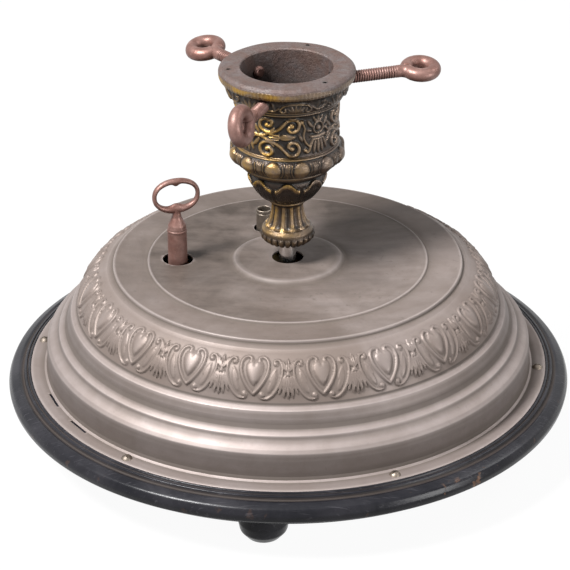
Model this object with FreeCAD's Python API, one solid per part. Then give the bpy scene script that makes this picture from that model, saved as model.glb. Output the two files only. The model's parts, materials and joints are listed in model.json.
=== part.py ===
"""Christmas tree stand: a key-wound, turning, musical stand on a turned wooden board with bun feet.

Millimetres, +Z up. The origin is on the floor, on the axis that the tree turns about.
The photographed front is -Y.
"""
import FreeCAD
import Part
import math
import os

os.makedirs("parts", exist_ok=True)

V = FreeCAD.Vector
UP = V(0, 0, 1)

# Board and feet
board_radius = 210.0
board_thickness = 21.5
edge_roll_radius = 7.5
edge_roll_rise = 11.0
edge_cove_inset = 11.0
edge_bead_radius = 2.0
edge_fillet_rise = 2.6
foot_height = 28.5
foot_radius = 18.0
foot_sole_radius = 12.0
foot_neck_radius = 11.0
foot_inset = 42.0
foot_count = 3
foot_azimuth = 264.0
foot_screw_radius = 2.6
foot_screw_head_radius = 5.0
foot_screw_head_height = 3.4
foot_screw_recess = 7.0
foot_screw_bite = 14.0

# Dome cover, pressed from one sheet
dome_radius = 193.0
dome_rise = 83.0
sheet = 1.2
spindle_hole_radius = 11.6
sleeve_hole_radius = 7.8
flange_width = 10.8
flange_screw_inset = 6.0
flange_screw_count = 6
flange_screw_azimuth = 353.0
flange_screw_radius = 1.9
flange_screw_head_radius = 4.0
flange_screw_head_height = 2.6
flange_screw_length = 14.0
flange_slot_length = 20.0
flange_slot_width = 1.6
flange_slot_azimuths = (202.0, 215.5)

# Outline of the dome from its spindle hole outward, as shares of dome_radius and dome_rise.
# Four numbers are an arc: its middle, then its end.
dome_outline_shares = [
    (0.210, 1.000),
    (0.225, 0.971),
    (0.532, 1.000),
    (0.548, 0.983),
    (0.665, 0.987),
    (0.674, 0.959),
    (0.701, 0.920),
    (0.766, 0.803, 0.804, 0.627),
    (0.812, 0.576),
    (0.833, 0.528),
    (0.852, 0.492, 0.862, 0.429),
    (0.881, 0.365),
    (0.932, 0.271),
    (0.934, 0.043),
]

# Frieze on the dome's curve. Each outline goes round one side of its piece: across from its middle as
# shares of half a repeat's width, along from the band's foot as shares of the band's length.
# Four numbers are an arc: its middle, then its end.
frieze_count = 20
frieze_azimuth = 279.0
frieze_relief_height = 1.4
heart_outline_shares = [
    (0.000, 0.110),
    (0.330, 0.370, 0.490, 0.700),
    (0.260, 0.925, 0.000, 0.820),
]
scroll_outline_shares = [
    (0.150, 0.030),
    (0.690, 0.390, 0.630, 0.910),
    (0.540, 0.860),
    (0.580, 0.420, 0.230, 0.130),
]
palmette_outline_shares = [
    (0.000, 0.030), (0.055, 0.210), (0.170, 0.085), (0.140, 0.270), (0.280, 0.200), (0.155, 0.390),
    (0.095, 0.480), (0.220, 0.620), (0.110, 0.590), (0.150, 0.800), (0.060, 0.670), (0.000, 0.880),
]

# Plates and pillars of the movement
lower_plate_gap = 30.0
lower_plate_thickness = 4.0
upper_plate_gap = 10.0
upper_plate_thickness = 3.0
plate_gap = 58.0
pillar_radius = 5.0
pillar_tenon_radius = 3.0
pillar_inset = 13.0
pillar_count = 4
pillar_azimuth = 45.0
pillar_nut_across = 10.0
pillar_nut_height = 4.0
plate_screw_inset = 8.0
plate_screw_radius = 2.2
plate_screw_head_radius = 4.5
plate_screw_head_height = 2.5
plate_screw_length = 16.0
plate_screw_count = 4
window_inset = 4.0

# Clearances
fit_gap = 0.05
loose_gap = 0.3
seat_gap = 0.1
overrun = 1.0

# Tree spindle and its bearings
spindle_radius = 6.2
spindle_grip_depth = 5.5
ball_radius = 4.0
footstep_radius = 10.0
footstep_flange_radius = 18.0
footstep_flange_thickness = 3.0
footstep_depth = 10.0
footstep_neck_height = 1.2
bush_wall = 3.0
bush_flange_width = 3.0
bush_flange_thickness = 2.5
bush_tail = 3.0

# Gear teeth, as shares of the pitch and of the module
tooth_root_share = 0.50
tooth_tip_share = 0.18
addendum_share = 0.80
dedendum_share = 1.15

# Spindle gears
wheel_module_share = 0.6
spindle_wheel_teeth = 80
leaf_teeth = 10
spindle_wheel_thickness = 3.5
spindle_wheel_hub_radius = 12.0
spindle_wheel_hub_height = 8.0
spindle_wheel_rise = 1.5
great_wheel_rise = 1.5
spindle_wheel_hole_radius = 9.0
spindle_wheel_hole_count = 5
leaf_height = 6.5
power_module_limit = 2.0
power_module_share = 1 / 96.5
spindle_pinion_teeth = 24
spindle_pinion_height = 10.5
great_wheel_teeth = 57
great_wheel_thickness = 6.0

# Mainspring barrel, winding arbor and ratchet
barrel_azimuth = 180.7
barrel_modules = 26
barrel_wall = 2.0
barrel_height = 34.0
barrel_floor_thickness = 3.0
barrel_cover_thickness = 2.0
winding_arbor_radius = 5.0
winding_square = 7.0
winding_square_gap = 0.2
arbor_core_radius = 8.0
mainspring_thickness = 0.9
mainspring_turns = 8
mainspring_inner_gap = 2.0
ratchet_radius = 15.0
ratchet_depth = 2.2
ratchet_teeth = 24
ratchet_thickness = 3.0
click_reach = 23.0
click_bearing = 300.0
click_lead = 45.0
click_arm_radius = 3.2
click_screw_radius = 1.8
click_boss_radius = 4.0
click_head_radius = 3.4
click_head_height = 1.8
click_spring_thickness = 0.6
click_spring_length = 16.0
click_spring_foot = 5.0

# Winding key
key_shank_radius = 7.15
key_hole_gap = 4.05
key_tail_gap = 1.0
key_shoulder_rise = 23.2
key_shoulder_bevel = 0.4
key_socket_depth = 27.0
key_neck_radius = 3.0
key_neck_length = 13.8
key_neck_bulge = 0.35
key_bow_width = 35.8
key_bow_height = 27.0
key_bow_thickness = 5.0
key_bow_side_width = 3.8
key_bow_top_width = 4.4
key_cusp_radius = 1.8
key_hump_radius = 3.2
key_turn = 18.0

# Music work
music_bearing = 292.1
music_module_share = 0.5
music_leaf_teeth = 12
contrate_teeth = 40
contrate_rim = 4.8
contrate_thickness = 3.0
contrate_hub_radius = 6.0
contrate_drop = 4.0
music_arbor_radius = 3.0
pivot_radius = 1.5
pivot_shoulder_gap = 0.3
cylinder_radius = 15.0
cylinder_length = 58.0
cylinder_arbor_radius = 3.0
cylinder_end_gap = 4.0
bearing_width = 12.0
bearing_thickness = 4.0
bearing_crown = 8.0
bearing_offset = 11.5
pin_height = 0.9
comb_teeth = 20
comb_thickness = 1.6
comb_tooth_length = 20.0
comb_slot = 0.8
comb_depth = 30.0
comb_block_depth = 12.0
comb_screw_count = 3
comb_screw_radius = 1.5
comb_screw_head_radius = 3.0
comb_screw_head_height = 2.0
comb_screw_bite = 9.0

# Governor train
train_bearing = 60.0
train_wheel_teeth = 48
governor_leaf_teeth = 8
train_wheel_rise = 20.5
train_wheel_thickness = 3.0
train_wheel_hub_radius = 7.0
train_wheel_hole_radius = 4.5
train_wheel_hole_count = 4
governor_direction = 158.5
governor_arbor_radius = 2.0
fly_span = 38.0
fly_height = 12.0
fly_thickness = 0.9
fly_hub_radius = 4.0
fly_rise = 28.0
brake_disc_gap = 4.0
brake_disc_thickness = 2.0
brake_disc_rise = 43.0

# Start and stop sleeve
sleeve_place = (-17.8, 53.5)
sleeve_radius = 5.8
sleeve_wall = 1.0
sleeve_stand_height = 14.0
sleeve_travel = 6.0
sleeve_sole = 1.5
guide_wall = 1.9
guide_flange_width = 2.4

# Cup pedestal: heights above its foot, radii from the axis
pedestal_clearance = 14.5
pedestal_height = 80.5
knob_radius = 20.7
knob_foot_radius = 12.0
stem_radius = 11.8
stem_foot_radius = 17.2
collar_radius = 14.3
bowl_radius = 26.8
lower_bead_radius = 32.4
egg_band_radius = 40.4
pedestal_top_radius = 37.4
flute_count = 12
flute_radius = 2.1
egg_count = 12
egg_radius = 6.0
egg_stand_height = 1.0
pedestal_rise_shares = {
    "knob_low": 0.028, "knob_mid": 0.087, "knob_high": 0.137, "stem_foot": 0.168, "stem_mid": 0.255,
    "stem_top": 0.373, "collar_low": 0.398, "collar_mid": 0.416, "collar_high": 0.435,
    "bowl_mid": 0.534, "bowl_top": 0.658, "neck_low": 0.714, "neck_high": 0.739,
    "bead_mid": 0.755, "bead_high": 0.776, "egg_low": 0.795, "egg_mid": 0.905, "egg_high": 0.999,
}

# Trunk cup
cup_height = 56.0
cup_floor_thickness = 8.0
trunk_radius = 33.0
trunk_mouth_depth = 8.5
socket_step_width = 0.6
lip_radius = 48.8
lip_height = 8.6
lip_bevel_width = 2.8
drum_radius = 35.6
neck_radius = 41.2
neck_bead_radius = 39.2
cup_foot_radius = 37.2
rim_hole_circle_radius = 42.0
rim_hole_radius = 1.25
rim_hole_depth = 6.0
rim_hole_count = 3
rim_hole_azimuth = 69.0
cup_rise_shares = {
    "foot": 0.025, "drum_low": 0.052, "drum_high": 0.482, "neck_low": 0.545, "bead_low": 0.565,
    "bead_mid": 0.590, "bead_high": 0.615, "neck_mid": 0.630, "cove_low": 0.645, "cove_mid": 0.755,
}

# Clamp screws: where each eye's far side stands from the axis, and how its eye is turned
clamp_height = 41.0
clamp_radius = 4.55
clamp_length = 80.0
clamp_tip_bevel = 1.5
eye_radius = 10.8
eye_neck_radius = 7.0
eye_end_angle = 26.0
clamp_screws = {
    "clamp_screw_right": {"azimuth": 17.5, "reach": 116.0, "roll": 7.0},
    "clamp_screw_rear": {"azimuth": 129.5, "reach": 109.5, "roll": 350.0},
    "clamp_screw_front": {"azimuth": 247.0, "reach": 94.5, "roll": 100.0},
}

# Sizes that follow the dome's radius
power_module = min(power_module_limit, dome_radius * power_module_share)
wheel_module = power_module * wheel_module_share
music_module = power_module * music_module_share
barrel_radius = power_module * barrel_modules

# Heights that follow
board_top = foot_height + board_thickness
dome_top = board_top + dome_rise
lower_plate_top = board_top + lower_plate_thickness
upper_plate_bottom = lower_plate_top + plate_gap
upper_plate_top = upper_plate_bottom + upper_plate_thickness
footstep_top = lower_plate_top + footstep_flange_thickness + footstep_neck_height
spindle_bottom = lower_plate_top - footstep_flange_thickness - seat_gap
hub_bottom = footstep_top + loose_gap
wheel_bottom = hub_bottom + spindle_wheel_rise
pinion_bottom = hub_bottom + spindle_wheel_hub_height
great_wheel_bottom = pinion_bottom + great_wheel_rise
barrel_top = great_wheel_bottom + barrel_height
pedestal_foot = dome_top + pedestal_clearance
cup_foot = pedestal_foot + pedestal_height
cup_top = cup_foot + cup_height
clamp_level = cup_foot + clamp_height
train_distance = wheel_module * (spindle_wheel_teeth + leaf_teeth) / 2
barrel_distance = power_module * (spindle_pinion_teeth + great_wheel_teeth) / 2
governor_distance = music_module * (train_wheel_teeth + governor_leaf_teeth) / 2
brake_disc_radius = governor_distance - music_arbor_radius - brake_disc_gap


def dome_reach(height):
    """Largest radius of the dome's outline points at or above a height."""
    rise = (height - board_top) / dome_rise
    pairs = [pair for shares in dome_outline_shares for pair in zip(shares[0::2], shares[1::2])]
    return dome_radius * max(reach for reach, level in pairs if level >= rise)


lower_plate_radius = dome_reach(lower_plate_top) - lower_plate_gap
upper_plate_radius = dome_reach(upper_plate_top) - upper_plate_gap


def polar(distance, azimuth, height=0.0, about=(0, 0)):
    """The point at a distance and azimuth, in degrees, from a centre."""
    angle = math.radians(azimuth)
    return V(about[0] + distance * math.cos(angle), about[1] + distance * math.sin(angle), height)


barrel_centre = polar(barrel_distance, barrel_azimuth)
music_centre = polar(train_distance, music_bearing)
train_centre = polar(train_distance, train_bearing)
governor_centre = polar(governor_distance, governor_direction, 0, train_centre)


def save(shape, node):
    """Write one sub-part to its STEP file."""
    shape.exportStep(os.path.join("parts", node + ".step"))


def rod(radius, low, high, centre=(0, 0)):
    """Upright cylinder between two heights."""
    return Part.makeCylinder(radius, high - low, V(centre[0], centre[1], low))


def tube(outer, inner, low, high, centre=(0, 0)):
    """Upright hollow cylinder."""
    return rod(outer, low, high, centre).cut(rod(inner, low - overrun, high + overrun, centre))


def block(size_x, size_y, size_z, x, y, z):
    """Box with its middle at x and y and its underside at z."""
    return Part.makeBox(size_x, size_y, size_z, V(x - size_x / 2, y - size_y / 2, z))


def outline_edges(points):
    """Edges through (r, z) points; four numbers are an arc's middle and end."""
    edges = []
    here = V(points[0][0], 0, points[0][1])
    for point in points[1:]:
        end = V(point[-2], 0, point[-1])
        if len(point) == 4:
            edges.append(Part.Arc(here, V(point[0], 0, point[1]), end).toShape())
        else:
            edges.append(Part.LineSegment(here, end).toShape())
        here = end
    return edges


def turned(points):
    """Solid of revolution about the axis of the stand from a closed outline."""
    edges = outline_edges(list(points) + [points[0]])
    face = Part.Face(Part.Wire(edges))
    return face.revolve(V(0, 0, 0), UP, 360)


def joined(shapes):
    """One solid from overlapping shapes."""
    whole = shapes[0].multiFuse(shapes[1:]) if len(shapes) > 1 else shapes[0]
    return whole.removeSplitter()


def around(shape, count, first=0.0, centre=(0, 0)):
    """Copies of a shape spaced evenly about an upright axis."""
    copies = []
    for index in range(count):
        copy = shape.copy()
        copy.rotate(V(centre[0], centre[1], 0), UP, first + 360.0 * index / count)
        copies.append(copy)
    return copies


def gear_blank(teeth, module):
    """Closed face of a spur gear with straight-sided teeth, its first tooth along +X."""
    pitch_radius = teeth * module / 2
    root = pitch_radius - dedendum_share * module
    tip = pitch_radius + addendum_share * module
    step = 2 * math.pi / teeth
    points = []
    for index in range(teeth):
        middle = index * step
        for radius, share, side in ((root, tooth_root_share, -1), (tip, tooth_tip_share, -1),
                                    (tip, tooth_tip_share, 1), (root, tooth_root_share, 1)):
            angle = middle + side * share * step / 2
            points.append(V(radius * math.cos(angle), radius * math.sin(angle), 0))
    return Part.Face(Part.makePolygon(points + [points[0]]))


def gear(teeth, module, low, thickness, centre=(0, 0), first_tooth=0.0):
    """Spur gear whose first tooth points at an azimuth."""
    solid = gear_blank(teeth, module).extrude(V(0, 0, thickness))
    solid.rotate(V(0, 0, 0), UP, first_tooth)
    solid.translate(V(centre[0], centre[1], low))
    return solid


def gap_facing(teeth, azimuth):
    """First-tooth azimuth that puts a gap between teeth at an azimuth."""
    return azimuth + 180.0 / teeth


def tooth_phase(teeth, first_tooth, azimuth):
    """How far an azimuth lies past a tooth's middle, as a share of one tooth step."""
    step = 360.0 / teeth
    return ((azimuth - first_tooth) / step) % 1.0


def meshed(teeth, azimuth, driver_teeth, driver_first, driver_azimuth):
    """First-tooth azimuth of a follower that meshes with a driver seen at driver_azimuth."""
    share = tooth_phase(driver_teeth, driver_first, driver_azimuth)
    return azimuth + (share + 0.5) * 360.0 / teeth


def base_board():
    """Turned board: flat top, small bead, rolled edge, cove and a flat underside."""
    roll_centre = board_radius - edge_roll_radius
    roll_height = foot_height + edge_roll_rise
    bead_edge = roll_centre - edge_roll_radius / 2
    reach = edge_roll_radius * math.sqrt(0.5)
    points = [
        (0, foot_height),
        (board_radius - edge_cove_inset, foot_height),
        (board_radius - edge_cove_inset, foot_height + edge_fillet_rise),
        (roll_centre, roll_height - edge_roll_radius),
        (board_radius, roll_height, roll_centre - reach / 2, roll_height + edge_roll_radius),
        (bead_edge, board_top - edge_bead_radius),
        (bead_edge - edge_bead_radius, board_top + edge_bead_radius / 2,
         bead_edge - 2 * edge_bead_radius, board_top),
        (0, board_top),
    ]
    board = turned(points)
    footstep_low = spindle_bottom - footstep_depth - 2 * fit_gap
    cuts = [rod(footstep_radius + fit_gap, footstep_low, board_top + overrun)]
    for place in foot_places():
        cuts.append(rod(foot_screw_radius, foot_height - overrun, foot_height + foot_screw_bite, place))
    for place in flange_screw_places():
        cuts.append(rod(flange_screw_radius + fit_gap, board_top + sheet - flange_screw_length,
                        board_top + overrun, place))
    for place in plate_screw_places():
        cuts.append(rod(plate_screw_radius + fit_gap, lower_plate_top - plate_screw_length,
                        board_top + overrun, place))
    return board.cut(cuts)


def foot_places():
    """Centres of the feet."""
    return [polar(board_radius - foot_inset, foot_azimuth + 360.0 * index / foot_count)
            for index in range(foot_count)]


def flange_screw_places():
    """Centres of the screws through the dome's flange."""
    distance = dome_radius - flange_screw_inset
    return [polar(distance, flange_screw_azimuth + 360.0 * index / flange_screw_count)
            for index in range(flange_screw_count)]


def plate_screw_places():
    """Centres of the screws that hold the lower plate."""
    return [polar(lower_plate_radius - plate_screw_inset, 360.0 * index / plate_screw_count)
            for index in range(plate_screw_count)]


def pillar_places():
    """Centres of the pillars."""
    return [polar(upper_plate_radius - pillar_inset, pillar_azimuth + 360.0 * index / pillar_count)
            for index in range(pillar_count)]


def bun_foot(place):
    """Turned foot with a counterbored screw hole."""
    widest = foot_height * 0.44
    shoulder = foot_height * 0.84
    foot = turned([
        (0, 0),
        (foot_sole_radius, 0),
        (foot_radius, widest, foot_neck_radius, shoulder),
        (foot_neck_radius, foot_height),
        (0, foot_height),
    ])
    hole = rod(foot_screw_radius + fit_gap, 0 - overrun, foot_height + overrun)
    recess_top = foot_screw_recess + foot_screw_head_height
    recess = rod(foot_screw_head_radius + loose_gap, 0 - overrun, recess_top)
    foot = foot.cut([hole, recess])
    foot.translate(place)
    return foot


def foot_screw(place):
    """Wood screw that holds a foot: flat head down, shank up into the board."""
    low = foot_screw_recess
    head = rod(foot_screw_head_radius, low, low + foot_screw_head_height, place)
    shank = rod(foot_screw_radius - fit_gap, low, foot_height + foot_screw_bite - loose_gap, place)
    return joined([head, shank])


def dome_outer_points():
    """Outline of the dome's outer face from the spindle hole to the flange's edge."""
    points = [(spindle_hole_radius, dome_top)]
    for shares in dome_outline_shares:
        radii = [dome_radius * share for share in shares[0::2]]
        heights = [board_top + dome_rise * share for share in shares[1::2]]
        points.append(tuple(value for pair in zip(radii, heights) for value in pair))
    points.append((dome_radius - flange_width, board_top + sheet))
    points.append((dome_radius, board_top + sheet))
    return points


def dome_cover():
    """Pressed sheet: its outline given a wall, turned, and pierced."""
    wire = Part.Wire(outline_edges(dome_outer_points()))
    wall = wire.makeOffset2D(-sheet, 2, True, True)
    if wall.BoundBox.ZMin > board_top + sheet / 2:
        wall = wire.makeOffset2D(sheet, 2, True, True)
    face = wall.Faces[0] if wall.Faces else Part.Face(wall)
    dome = face.revolve(V(0, 0, 0), UP, 360)
    dome = dome.multiFuse(frieze())
    key_hole = rod(key_shank_radius + key_hole_gap, upper_plate_top, dome_top + overrun, barrel_centre)
    sleeve_hole = rod(sleeve_hole_radius, upper_plate_top, dome_top + overrun, sleeve_place)
    cuts = [key_hole, sleeve_hole]
    for place in flange_screw_places():
        cuts.append(rod(flange_screw_radius + loose_gap, board_top - overrun, board_top + 2 * sheet, place))
    for azimuth in flange_slot_azimuths:
        slot = block(flange_slot_width, flange_slot_length, 3 * sheet,
                     dome_radius - flange_width + flange_slot_width, 0, board_top - sheet)
        slot.rotate(V(0, 0, 0), UP, azimuth)
        cuts.append(slot)
    return dome.cut(cuts)


def frieze_arc():
    """Top, middle and foot of the arc that the frieze lies on, then its centre and its radius."""
    points = dome_outer_points()
    index = next(place for place, point in enumerate(points) if len(point) == 4)
    ends = [V(*points[index - 1][-2:]), V(*points[index][:2]), V(*points[index][2:])]
    curve = Part.Arc(*ends).toShape().Curve
    return ends, curve.Center, curve.Radius


def frieze_band():
    """Ring along the dome's curve, from inside its sheet out to the height of the relief."""
    ends, centre, radius = frieze_arc()

    def moved(point, offset):
        """Point on the same ray from the arc's centre, farther out."""
        return centre + (point - centre) * ((radius + offset) / radius)

    outer = [moved(point, frieze_relief_height) for point in ends]
    inner = [moved(point, 0 - sheet / 2) for point in ends]
    return turned([
        (inner[2].x, inner[2].y),
        (inner[1].x, inner[1].y, inner[0].x, inner[0].y),
        (outer[0].x, outer[0].y),
        (outer[1].x, outer[1].y, outer[2].x, outer[2].y),
    ])


def raised_piece(outline, mirrored):
    """Piece of the frieze from an outline, closed by its mirror image or as it is."""
    ends, centre, radius = frieze_arc()
    across = math.pi * ends[1].x / frieze_count
    length = radius * (ends[0] - centre).getAngle(ends[2] - centre)
    slope = (ends[1] - centre) * (1 / radius)
    middle = V(ends[1].x, 0, ends[1].y)
    out = V(slope.x, 0, slope.y)
    rising = V(0 - slope.y, 0, slope.x)
    reach = length / 4

    def on_slope(pair, side=1):
        """Point of the outline on the plane that touches the arc's middle."""
        along = radius * math.sin((pair[1] - 0.5) * length / radius)
        return middle + V(0, side * pair[0] * across, 0) + rising * along

    def run(side):
        """Edges of the outline on one side."""
        edges = []
        here = on_slope(outline[0], side)
        for shares in outline[1:]:
            end = on_slope(shares[-2:], side)
            if len(shares) == 4:
                edges.append(Part.Arc(here, on_slope(shares[:2], side), end).toShape())
            else:
                edges.append(Part.LineSegment(here, end).toShape())
            here = end
        return edges

    def prism(edges):
        """Outline extruded through the band, as it lies over the dome's curve."""
        face = Part.Face(Part.Wire(Part.__sortEdges__(edges)))
        face.translate(out * (0 - reach))
        return face.extrude(out * (2 * reach)).common(frieze_band())

    if mirrored:
        return [prism(run(1) + run(-1))]
    ends_line = [Part.LineSegment(on_slope(outline[-1][-2:], side), on_slope(outline[0], side)).toShape()
                 for side in (-1, 1)]
    return [prism(run(side) + [line]) for side, line in zip((-1, 1), ends_line)]


def frieze():
    """Hearts between scrolls, with a palmette between one heart and the next."""
    half_step = 180.0 / frieze_count
    pieces = []
    for piece in raised_piece(heart_outline_shares, True) + raised_piece(scroll_outline_shares, False):
        pieces += around(piece, frieze_count, frieze_azimuth)
    for piece in raised_piece(palmette_outline_shares, True):
        pieces += around(piece, frieze_count, frieze_azimuth + half_step)
    return pieces


def flange_screw(place):
    """Round-headed wood screw with a slot across its head."""
    seat = board_top + sheet
    height = flange_screw_head_height
    sphere_radius = (flange_screw_head_radius ** 2 + height ** 2) / (2 * height)
    ball = Part.makeSphere(sphere_radius, V(0, 0, seat + height - sphere_radius))
    head = ball.common(rod(flange_screw_head_radius, seat, seat + 2 * height))
    shank = rod(flange_screw_radius, seat - flange_screw_length + loose_gap, seat)
    slot = block(3 * flange_screw_head_radius, flange_screw_head_radius / 4, height,
                 0, 0, seat + height * 0.6)
    screw = joined([head, shank]).cut(slot)
    screw.rotate(V(0, 0, 0), UP, 2 * math.degrees(math.atan2(place.y, place.x)))
    screw.translate(V(place.x, place.y, 0))
    return screw


def lower_plate():
    """Lower plate of the movement, screwed to the board."""
    plate = rod(lower_plate_radius, board_top, lower_plate_top)
    low = board_top - overrun
    high = lower_plate_top + overrun
    cuts = [rod(footstep_radius + fit_gap, low, high),
            rod(winding_arbor_radius + fit_gap, low, high, barrel_centre)]
    for centre in (music_centre, train_centre, governor_centre):
        cuts.append(rod(pivot_radius + fit_gap, low, high, centre))
    for place in pillar_places():
        cuts.append(rod(pillar_tenon_radius + fit_gap, low, high, place))
    for place in plate_screw_places():
        cuts.append(rod(plate_screw_radius + fit_gap, low, high, place))
    return plate.cut(cuts)


def upper_plate():
    """Upper plate with a window over the music work."""
    plate = rod(upper_plate_radius, upper_plate_bottom, upper_plate_top)
    low = upper_plate_bottom - overrun
    high = upper_plate_top + overrun
    cuts = [rod(spindle_radius + bush_wall + fit_gap, low, high),
            rod(winding_arbor_radius + fit_gap, low, high, barrel_centre),
            rod(sleeve_radius + guide_wall + 2 * fit_gap, low, high, sleeve_place),
            rod(click_screw_radius + fit_gap, low, high, click_place())]
    for centre in (music_centre, train_centre, governor_centre):
        cuts.append(rod(pivot_radius + fit_gap, low, high, centre))
    for place in pillar_places():
        cuts.append(rod(pillar_tenon_radius + fit_gap, low, high, place))
    window_length = cylinder_length - 2 * window_inset
    window_depth = cylinder_radius + comb_depth
    window_middle = music_centre.y + window_depth / 2 - cylinder_radius
    cuts.append(block(window_length, window_depth, upper_plate_thickness + 2 * overrun,
                      cylinder_start() + cylinder_length / 2, window_middle, low))
    return plate.cut(cuts)


def pillar(place):
    """Turned pillar, riveted below and threaded above."""
    stem = rod(pillar_radius, lower_plate_top, upper_plate_bottom, place)
    tenon = rod(pillar_tenon_radius, board_top, upper_plate_top + pillar_nut_height + overrun, place)
    return joined([stem, tenon])


def pillar_nut(place):
    """Hexagon nut on top of a pillar."""
    corner = pillar_nut_across / math.sqrt(3)
    points = [polar(corner, 60.0 * index, upper_plate_top, place) for index in range(6)]
    body = Part.Face(Part.makePolygon(points + [points[0]])).extrude(V(0, 0, pillar_nut_height))
    hole = rod(pillar_tenon_radius + fit_gap, upper_plate_top - overrun,
               upper_plate_top + pillar_nut_height + overrun, place)
    return body.cut(hole)


def plate_screw(place):
    """Cheese-headed wood screw through the lower plate."""
    head = rod(plate_screw_head_radius, lower_plate_top, lower_plate_top + plate_screw_head_height, place)
    shank_low = lower_plate_top - plate_screw_length + loose_gap
    shank = rod(plate_screw_radius, shank_low, lower_plate_top, place)
    return joined([head, shank])


def footstep_bearing():
    """Flanged cup that carries the spindle on one ball."""
    floor = spindle_bottom - footstep_depth
    body = rod(footstep_radius, floor, footstep_top)
    flange = rod(footstep_flange_radius, lower_plate_top, lower_plate_top + footstep_flange_thickness)
    bearing = joined([body, flange])
    pocket = rod(ball_radius + fit_gap, spindle_bottom - 2 * ball_radius - fit_gap, footstep_top + overrun)
    journal = rod(spindle_radius + fit_gap, spindle_bottom - fit_gap, footstep_top + overrun)
    return bearing.cut([pocket, journal])


def thrust_ball():
    """Steel ball under the spindle."""
    return Part.makeSphere(ball_radius, V(0, 0, spindle_bottom - ball_radius))


def upper_bush():
    """Flanged bush that steadies the spindle in the upper plate."""
    outer = spindle_radius + bush_wall
    barrel = rod(outer, upper_plate_bottom - bush_tail, upper_plate_top + bush_flange_thickness)
    flange = rod(outer + bush_flange_width, upper_plate_top, upper_plate_top + bush_flange_thickness)
    bore = rod(spindle_radius + fit_gap, 0, cup_top)
    return joined([barrel, flange]).cut(bore)


def tree_spindle():
    """Polished shaft from the thrust ball up into the floor of the cup."""
    spindle = rod(spindle_radius, spindle_bottom, cup_foot + spindle_grip_depth)
    bevel = spindle_radius * 0.2
    return spindle.makeChamfer(bevel, [edge for edge in spindle.Edges if edge.Closed])


def spindle_bore():
    """Cutter for what is fixed on the spindle."""
    return rod(spindle_radius + fit_gap, 0, cup_foot + spindle_grip_depth + loose_gap)


def spindle_wheel():
    """Large wheel that drives the music and the governor."""
    wheel = gear(spindle_wheel_teeth, wheel_module, wheel_bottom, spindle_wheel_thickness)
    hub = rod(spindle_wheel_hub_radius, hub_bottom, pinion_bottom)
    middle = (spindle_wheel_hub_radius + spindle_wheel_teeth * wheel_module / 2) / 2
    hole = rod(spindle_wheel_hole_radius, wheel_bottom - overrun,
               wheel_bottom + 2 * spindle_wheel_thickness, (middle, 0))
    holes = around(hole, spindle_wheel_hole_count)
    return joined([wheel, hub]).cut(holes + [spindle_bore()])


def spindle_pinion():
    """Pinion that the barrel turns."""
    pinion = gear(spindle_pinion_teeth, power_module, pinion_bottom, spindle_pinion_height,
                  (0, 0), barrel_azimuth)
    return pinion.cut(spindle_bore())


def mainspring_barrel():
    """Drum with the great wheel cut on its lower edge."""
    first = gap_facing(great_wheel_teeth, barrel_azimuth + 180.0)
    wheel = gear(great_wheel_teeth, power_module, great_wheel_bottom, great_wheel_thickness,
                 barrel_centre, first)
    drum = rod(barrel_radius, great_wheel_bottom, barrel_top, barrel_centre)
    inside = rod(barrel_radius - barrel_wall, great_wheel_bottom + barrel_floor_thickness,
                 barrel_top + overrun, barrel_centre)
    bore = rod(winding_arbor_radius + fit_gap, great_wheel_bottom - overrun, barrel_top, barrel_centre)
    return joined([wheel, drum]).cut([inside, bore])


def barrel_cover():
    """Lid snapped into the drum's mouth."""
    return tube(barrel_radius - barrel_wall - fit_gap, winding_arbor_radius + fit_gap,
                barrel_top - barrel_cover_thickness, barrel_top, barrel_centre)


def mainspring():
    """Flat spring coiled from the arbor's core to the drum's wall, as half-turn arcs."""
    inner = arbor_core_radius + mainspring_inner_gap
    outer = barrel_radius - barrel_wall - loose_gap - mainspring_thickness
    low = great_wheel_bottom + barrel_floor_thickness + loose_gap
    high = barrel_top - barrel_cover_thickness - loose_gap
    halves = 2 * mainspring_turns
    radii = [inner + (outer - inner) * index / halves for index in range(halves + 1)]

    def side(offset):
        """Half-turn arcs whose ends lie on the axis line, moved out by an offset."""
        points = [V((radius + offset) * (1 if index % 2 == 0 else -1), 0, low)
                  for index, radius in enumerate(radii)]
        arcs = []
        for index in range(halves):
            start, end = points[index], points[index + 1]
            middle = (start + end) * 0.5
            reach = (end - start).Length / 2
            top = V(middle.x, reach if index % 2 == 0 else -reach, low)
            arcs.append(Part.Arc(start, top, end).toShape())
        return points, arcs

    inner_points, inner_arcs = side(0)
    outer_points, outer_arcs = side(mainspring_thickness)
    ends = [Part.LineSegment(inner_points[0], outer_points[0]).toShape(),
            Part.LineSegment(inner_points[-1], outer_points[-1]).toShape()]
    wire = Part.Wire(Part.__sortEdges__(inner_arcs + outer_arcs + ends))
    spring = Part.Face(wire).extrude(V(0, 0, high - low))
    spring.translate(barrel_centre)
    return spring


def winding_arbor():
    """Arbor through the barrel: core for the spring, journals, and a square for the key."""
    low_journal = rod(winding_arbor_radius, board_top + loose_gap, upper_plate_top, barrel_centre)
    core = rod(arbor_core_radius, great_wheel_bottom + barrel_floor_thickness + loose_gap,
               barrel_top - barrel_cover_thickness - loose_gap, barrel_centre)
    square_top = key_bottom() + key_socket_depth - overrun
    square = block(winding_square, winding_square, square_top - upper_plate_top,
                   0, 0, upper_plate_top)
    square.rotate(V(0, 0, 0), UP, key_turn)
    square.translate(barrel_centre)
    return joined([low_journal, core, square])


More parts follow.
